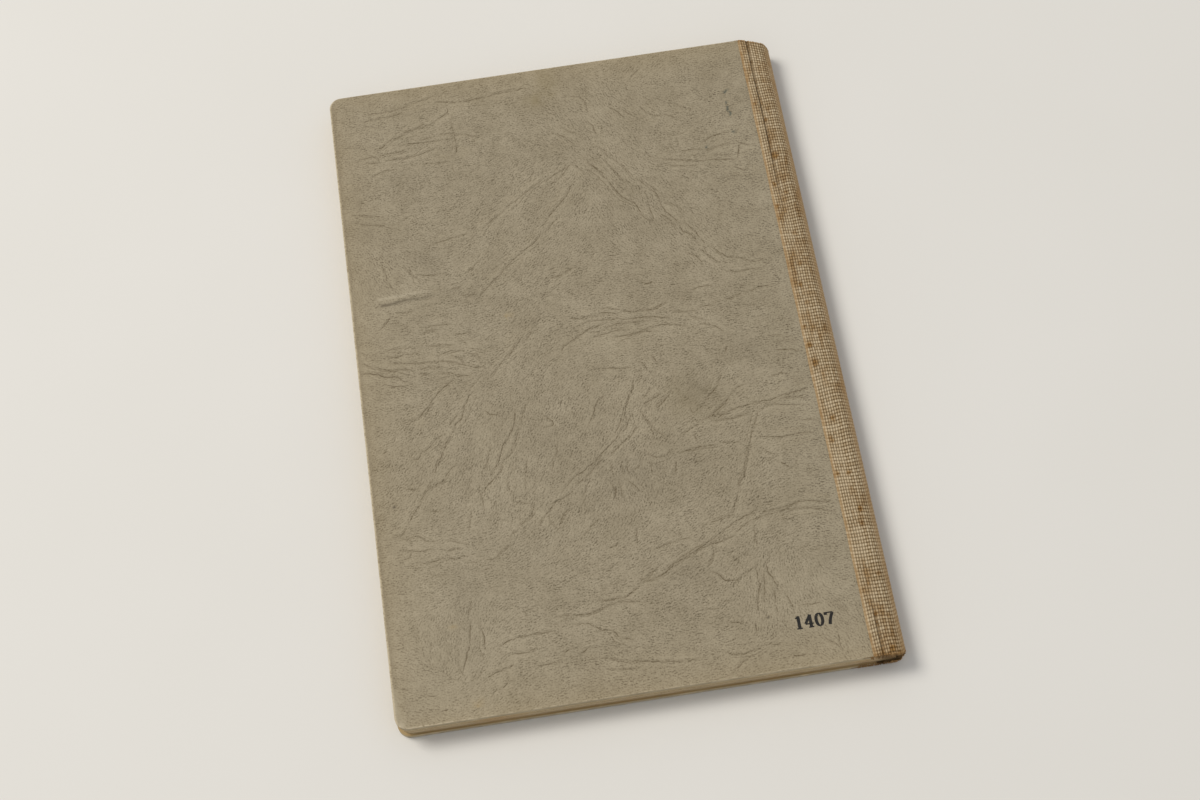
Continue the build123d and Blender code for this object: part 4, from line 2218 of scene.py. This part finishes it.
    def build(self) -> bpy.types.Object:
        """Make the woven outer face and the plain lining, and join them at their edges.

        Returns:
            The finished strip.
        """
        across = self.columns * self.samples
        down = self.rows * self.samples
        face = self.grid(f"{self.cover.side}_spine_linen", across, down)
        self.form(face, 0.0, True)
        lining = self.grid("lining", self.columns, self.rows)
        self.form(lining, self.lining - self.thread_rise - self.thread_round, False)
        activate(lining)
        bpy.ops.object.mode_set(mode="EDIT")
        bpy.ops.mesh.select_all(action="SELECT")
        bpy.ops.mesh.flip_normals()
        bpy.ops.object.mode_set(mode="OBJECT")
        activate(face)
        lining.select_set(True)
        bpy.ops.object.join()
        bpy.ops.object.mode_set(mode="EDIT")
        bpy.ops.mesh.select_mode(type="EDGE")
        bpy.ops.mesh.select_all(action="DESELECT")
        bpy.ops.mesh.select_non_manifold(extend=False)
        bpy.ops.mesh.bridge_edge_loops()
        bpy.ops.object.mode_set(mode="OBJECT")
        ends = self.fray()
        activate(face)
        ends.select_set(True)
        bpy.ops.object.join()
        face_outwards(face)
        return face

    def dress(self, piece: bpy.types.Object, finish: bpy.types.Material) -> None:
        """Give the strip its finish.

        Args:
            piece: The built strip.
            finish: The linen.
        """
        activate(piece)
        bpy.ops.object.shade_smooth_by_angle(angle=math.radians(70))
        coat(piece, finish)
        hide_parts("spine_cloth", f"{self.cover.side}_cover_cloth")
        self.cover.body
        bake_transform(piece)


# Page block


@dataclass
class PageBlock:
    """One section of folded sheets, nested in each other, their cut edges slightly uneven."""

    sheets: int = 14
    corner_radius: float = 2.6
    uneven: float = 0.07
    fold_steps: int = 10
    seed: int = 31

    def __post_init__(self) -> None:
        """Take the sizes of the solid, in millimetres."""
        self.box = Box.of("page_block")
        self.low = np.array(self.box.low) / MM
        self.high = np.array(self.box.high) / MM
        self.middle = (self.low[2] + self.high[2]) / 2
        self.fold_radius = (self.high[2] - self.low[2]) / 2
        self.fold_x = self.high[0] - self.fold_radius
        self.dice = random.Random(self.seed)

    def sheet(self, number: int) -> bpy.types.Object:
        """Fold one sheet: an upper leaf, the fold, and the lower leaf.

        Args:
            number: Its place in the section, from the outside.

        Returns:
            The folded sheet.
        """
        thickness = self.fold_radius / self.sheets
        radius = (self.fold_radius - (number + 0.5) * thickness) * MM
        middle = self.middle * MM
        fore = (self.low[0] + self.dice.uniform(0, self.uneven)) * MM
        half = (self.high[1] - self.dice.uniform(0, self.uneven)) * MM
        fold = self.fold_x * MM
        knee = HEAD_WEAR_FROM * MM
        bpy.ops.object.select_all(action="DESELECT")
        bpy.ops.mesh.primitive_plane_add(size=2, location=((fore + knee) / 2, 0, middle + radius))
        leaf = bpy.context.active_object
        leaf.scale = ((knee - fore) / 2, half, 1)
        bpy.ops.object.transform_apply(location=True, rotation=True, scale=True)
        bpy.ops.object.mode_set(mode="EDIT")
        pick(leaf, lambda spot: spot.x > knee - 0.01 * MM)
        bpy.ops.mesh.extrude_region_move(TRANSFORM_OT_translate={"value": (fold - knee, 0, 0)})
        bpy.ops.mesh.spin(
            steps=self.fold_steps, angle=math.pi, center=(fold, 0, middle), axis=(0, 1, 0)
        )
        bpy.ops.mesh.extrude_region_move(TRANSFORM_OT_translate={"value": (knee - fold, 0, 0)})
        bpy.ops.mesh.extrude_region_move(TRANSFORM_OT_translate={"value": (fore - knee, 0, 0)})
        pick(leaf, lambda spot: spot.x < fore + 0.01 * MM)
        bpy.ops.mesh.bevel(offset=self.corner_radius * MM, segments=6, affect="VERTICES")
        bpy.ops.mesh.select_all(action="SELECT")
        bpy.ops.mesh.normals_make_consistent(inside=False)
        bpy.ops.object.mode_set(mode="OBJECT")
        for vertex in leaf.data.vertices:
            if vertex.co.y > 0:
                vertex.co.y -= float(worn_head(vertex.co.x / MM)) * MM
        apply_modifier(leaf, "SOLIDIFY", thickness=thickness * 0.94 * MM, offset=0.0)
        store(leaf, "leaf", "FLOAT", np.full(len(leaf.data.vertices), self.dice.uniform(0.15, 0.85)))
        return leaf

    def build(self) -> bpy.types.Object:
        """Fold every sheet and join them.

        Returns:
            The finished section.
        """
        leaves = [self.sheet(number) for number in range(self.sheets)]
        activate(leaves[0])
        for leaf in leaves[1:]:
            leaf.select_set(True)
        bpy.ops.object.join()
        block = bpy.context.active_object
        block.name = "folded_leaves"
        bpy.ops.object.shade_smooth_by_angle(angle=math.radians(30))
        return block

    def dress(self, piece: bpy.types.Object) -> None:
        """Give the leaves their paper and their place among the bodies.

        Args:
            piece: The built section.
        """
        coat(piece, PageEdges().make("page_edges", self.box))
        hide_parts("page_block")
        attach(piece, "text_block")


# Pieces whose solid has the right shape


@dataclass(frozen=True)
class PlainPieces:
    """Boards, pastedowns and staples, which keep their solids and get only a finish."""

    boards: tuple[str, ...] = ("back_board", "front_board")
    pastedowns: tuple[str, ...] = ("back_pastedown", "front_pastedown")
    staples: tuple[str, ...] = ("head_staple", "tail_staple")

    def dress(self) -> None:
        """Give each solid its finish."""
        card = RawCard().make("raw_card")
        wire = RustyWire().make("rusty_wire")
        for name in self.boards:
            self.paint(name, card)
        for name in self.pastedowns:
            self.paint(name, TonedPaper().make(name, Box.of(name)))
        for name in self.staples:
            self.paint(name, wire)

    @staticmethod
    def paint(name: str, finish: bpy.types.Material) -> None:
        """Give one solid a finish."""
        coat(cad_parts[name], finish)
        LOG.info("%s: finish %s", name, finish.name)


def report(piece: bpy.types.Object) -> None:
    """Log a piece's name and its number of triangles."""
    LOG.info("%s: %d triangles", piece.name, triangles(piece))


def write_sizes() -> None:
    """Put the solids' box and the dressed book's box side by side, as plain numbers."""
    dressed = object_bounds()
    boxes = {"solids": SOLID_BOX, "dressed": dressed}
    plain = {name: [[float(value) for value in corner] for corner in box] for name, box in boxes.items()}


def main() -> None:
    """Build the book piece by piece."""
    logging.basicConfig(level=logging.INFO, format="%(message)s")
    camera = PhotoCamera()
    camera.build()
    Studio().build()
    papers = (
        SidePaper(Cover.BACK, BACK_CREASES, BACK_STAINS, PEN_LINES, BACK_SPECKS, Welt(), camera, 7),
        SidePaper(
            Cover.FRONT, FRONT_CREASES, (), (), (), None, camera, 19, stroke_pitch=1.9, skin_drop=0.05
        ),
    )
    covers = {}
    for paper in papers:
        piece = paper.build()
        paper.dress(piece)
        covers[paper.cover] = piece
        report(piece)
    stamp = NumberStamp()
    digits = stamp.build(covers[Cover.BACK])
    stamp.dress(digits)
    report(digits)
    linen = Linen().make("tan_linen")
    halves = (
        ClothHalf(Cover.BACK, camera, 3, CLOTH_SPOTS),
        ClothHalf(Cover.FRONT, camera, 5, sunk=0.06),
    )
    for half in halves:
        strip = half.build()
        half.dress(strip, linen)
        report(strip)
    block = PageBlock()
    leaves = block.build()
    block.dress(leaves)
    report(leaves)
    PlainPieces().dress()
    write_sizes()


if __name__ == "__main__":
    main()
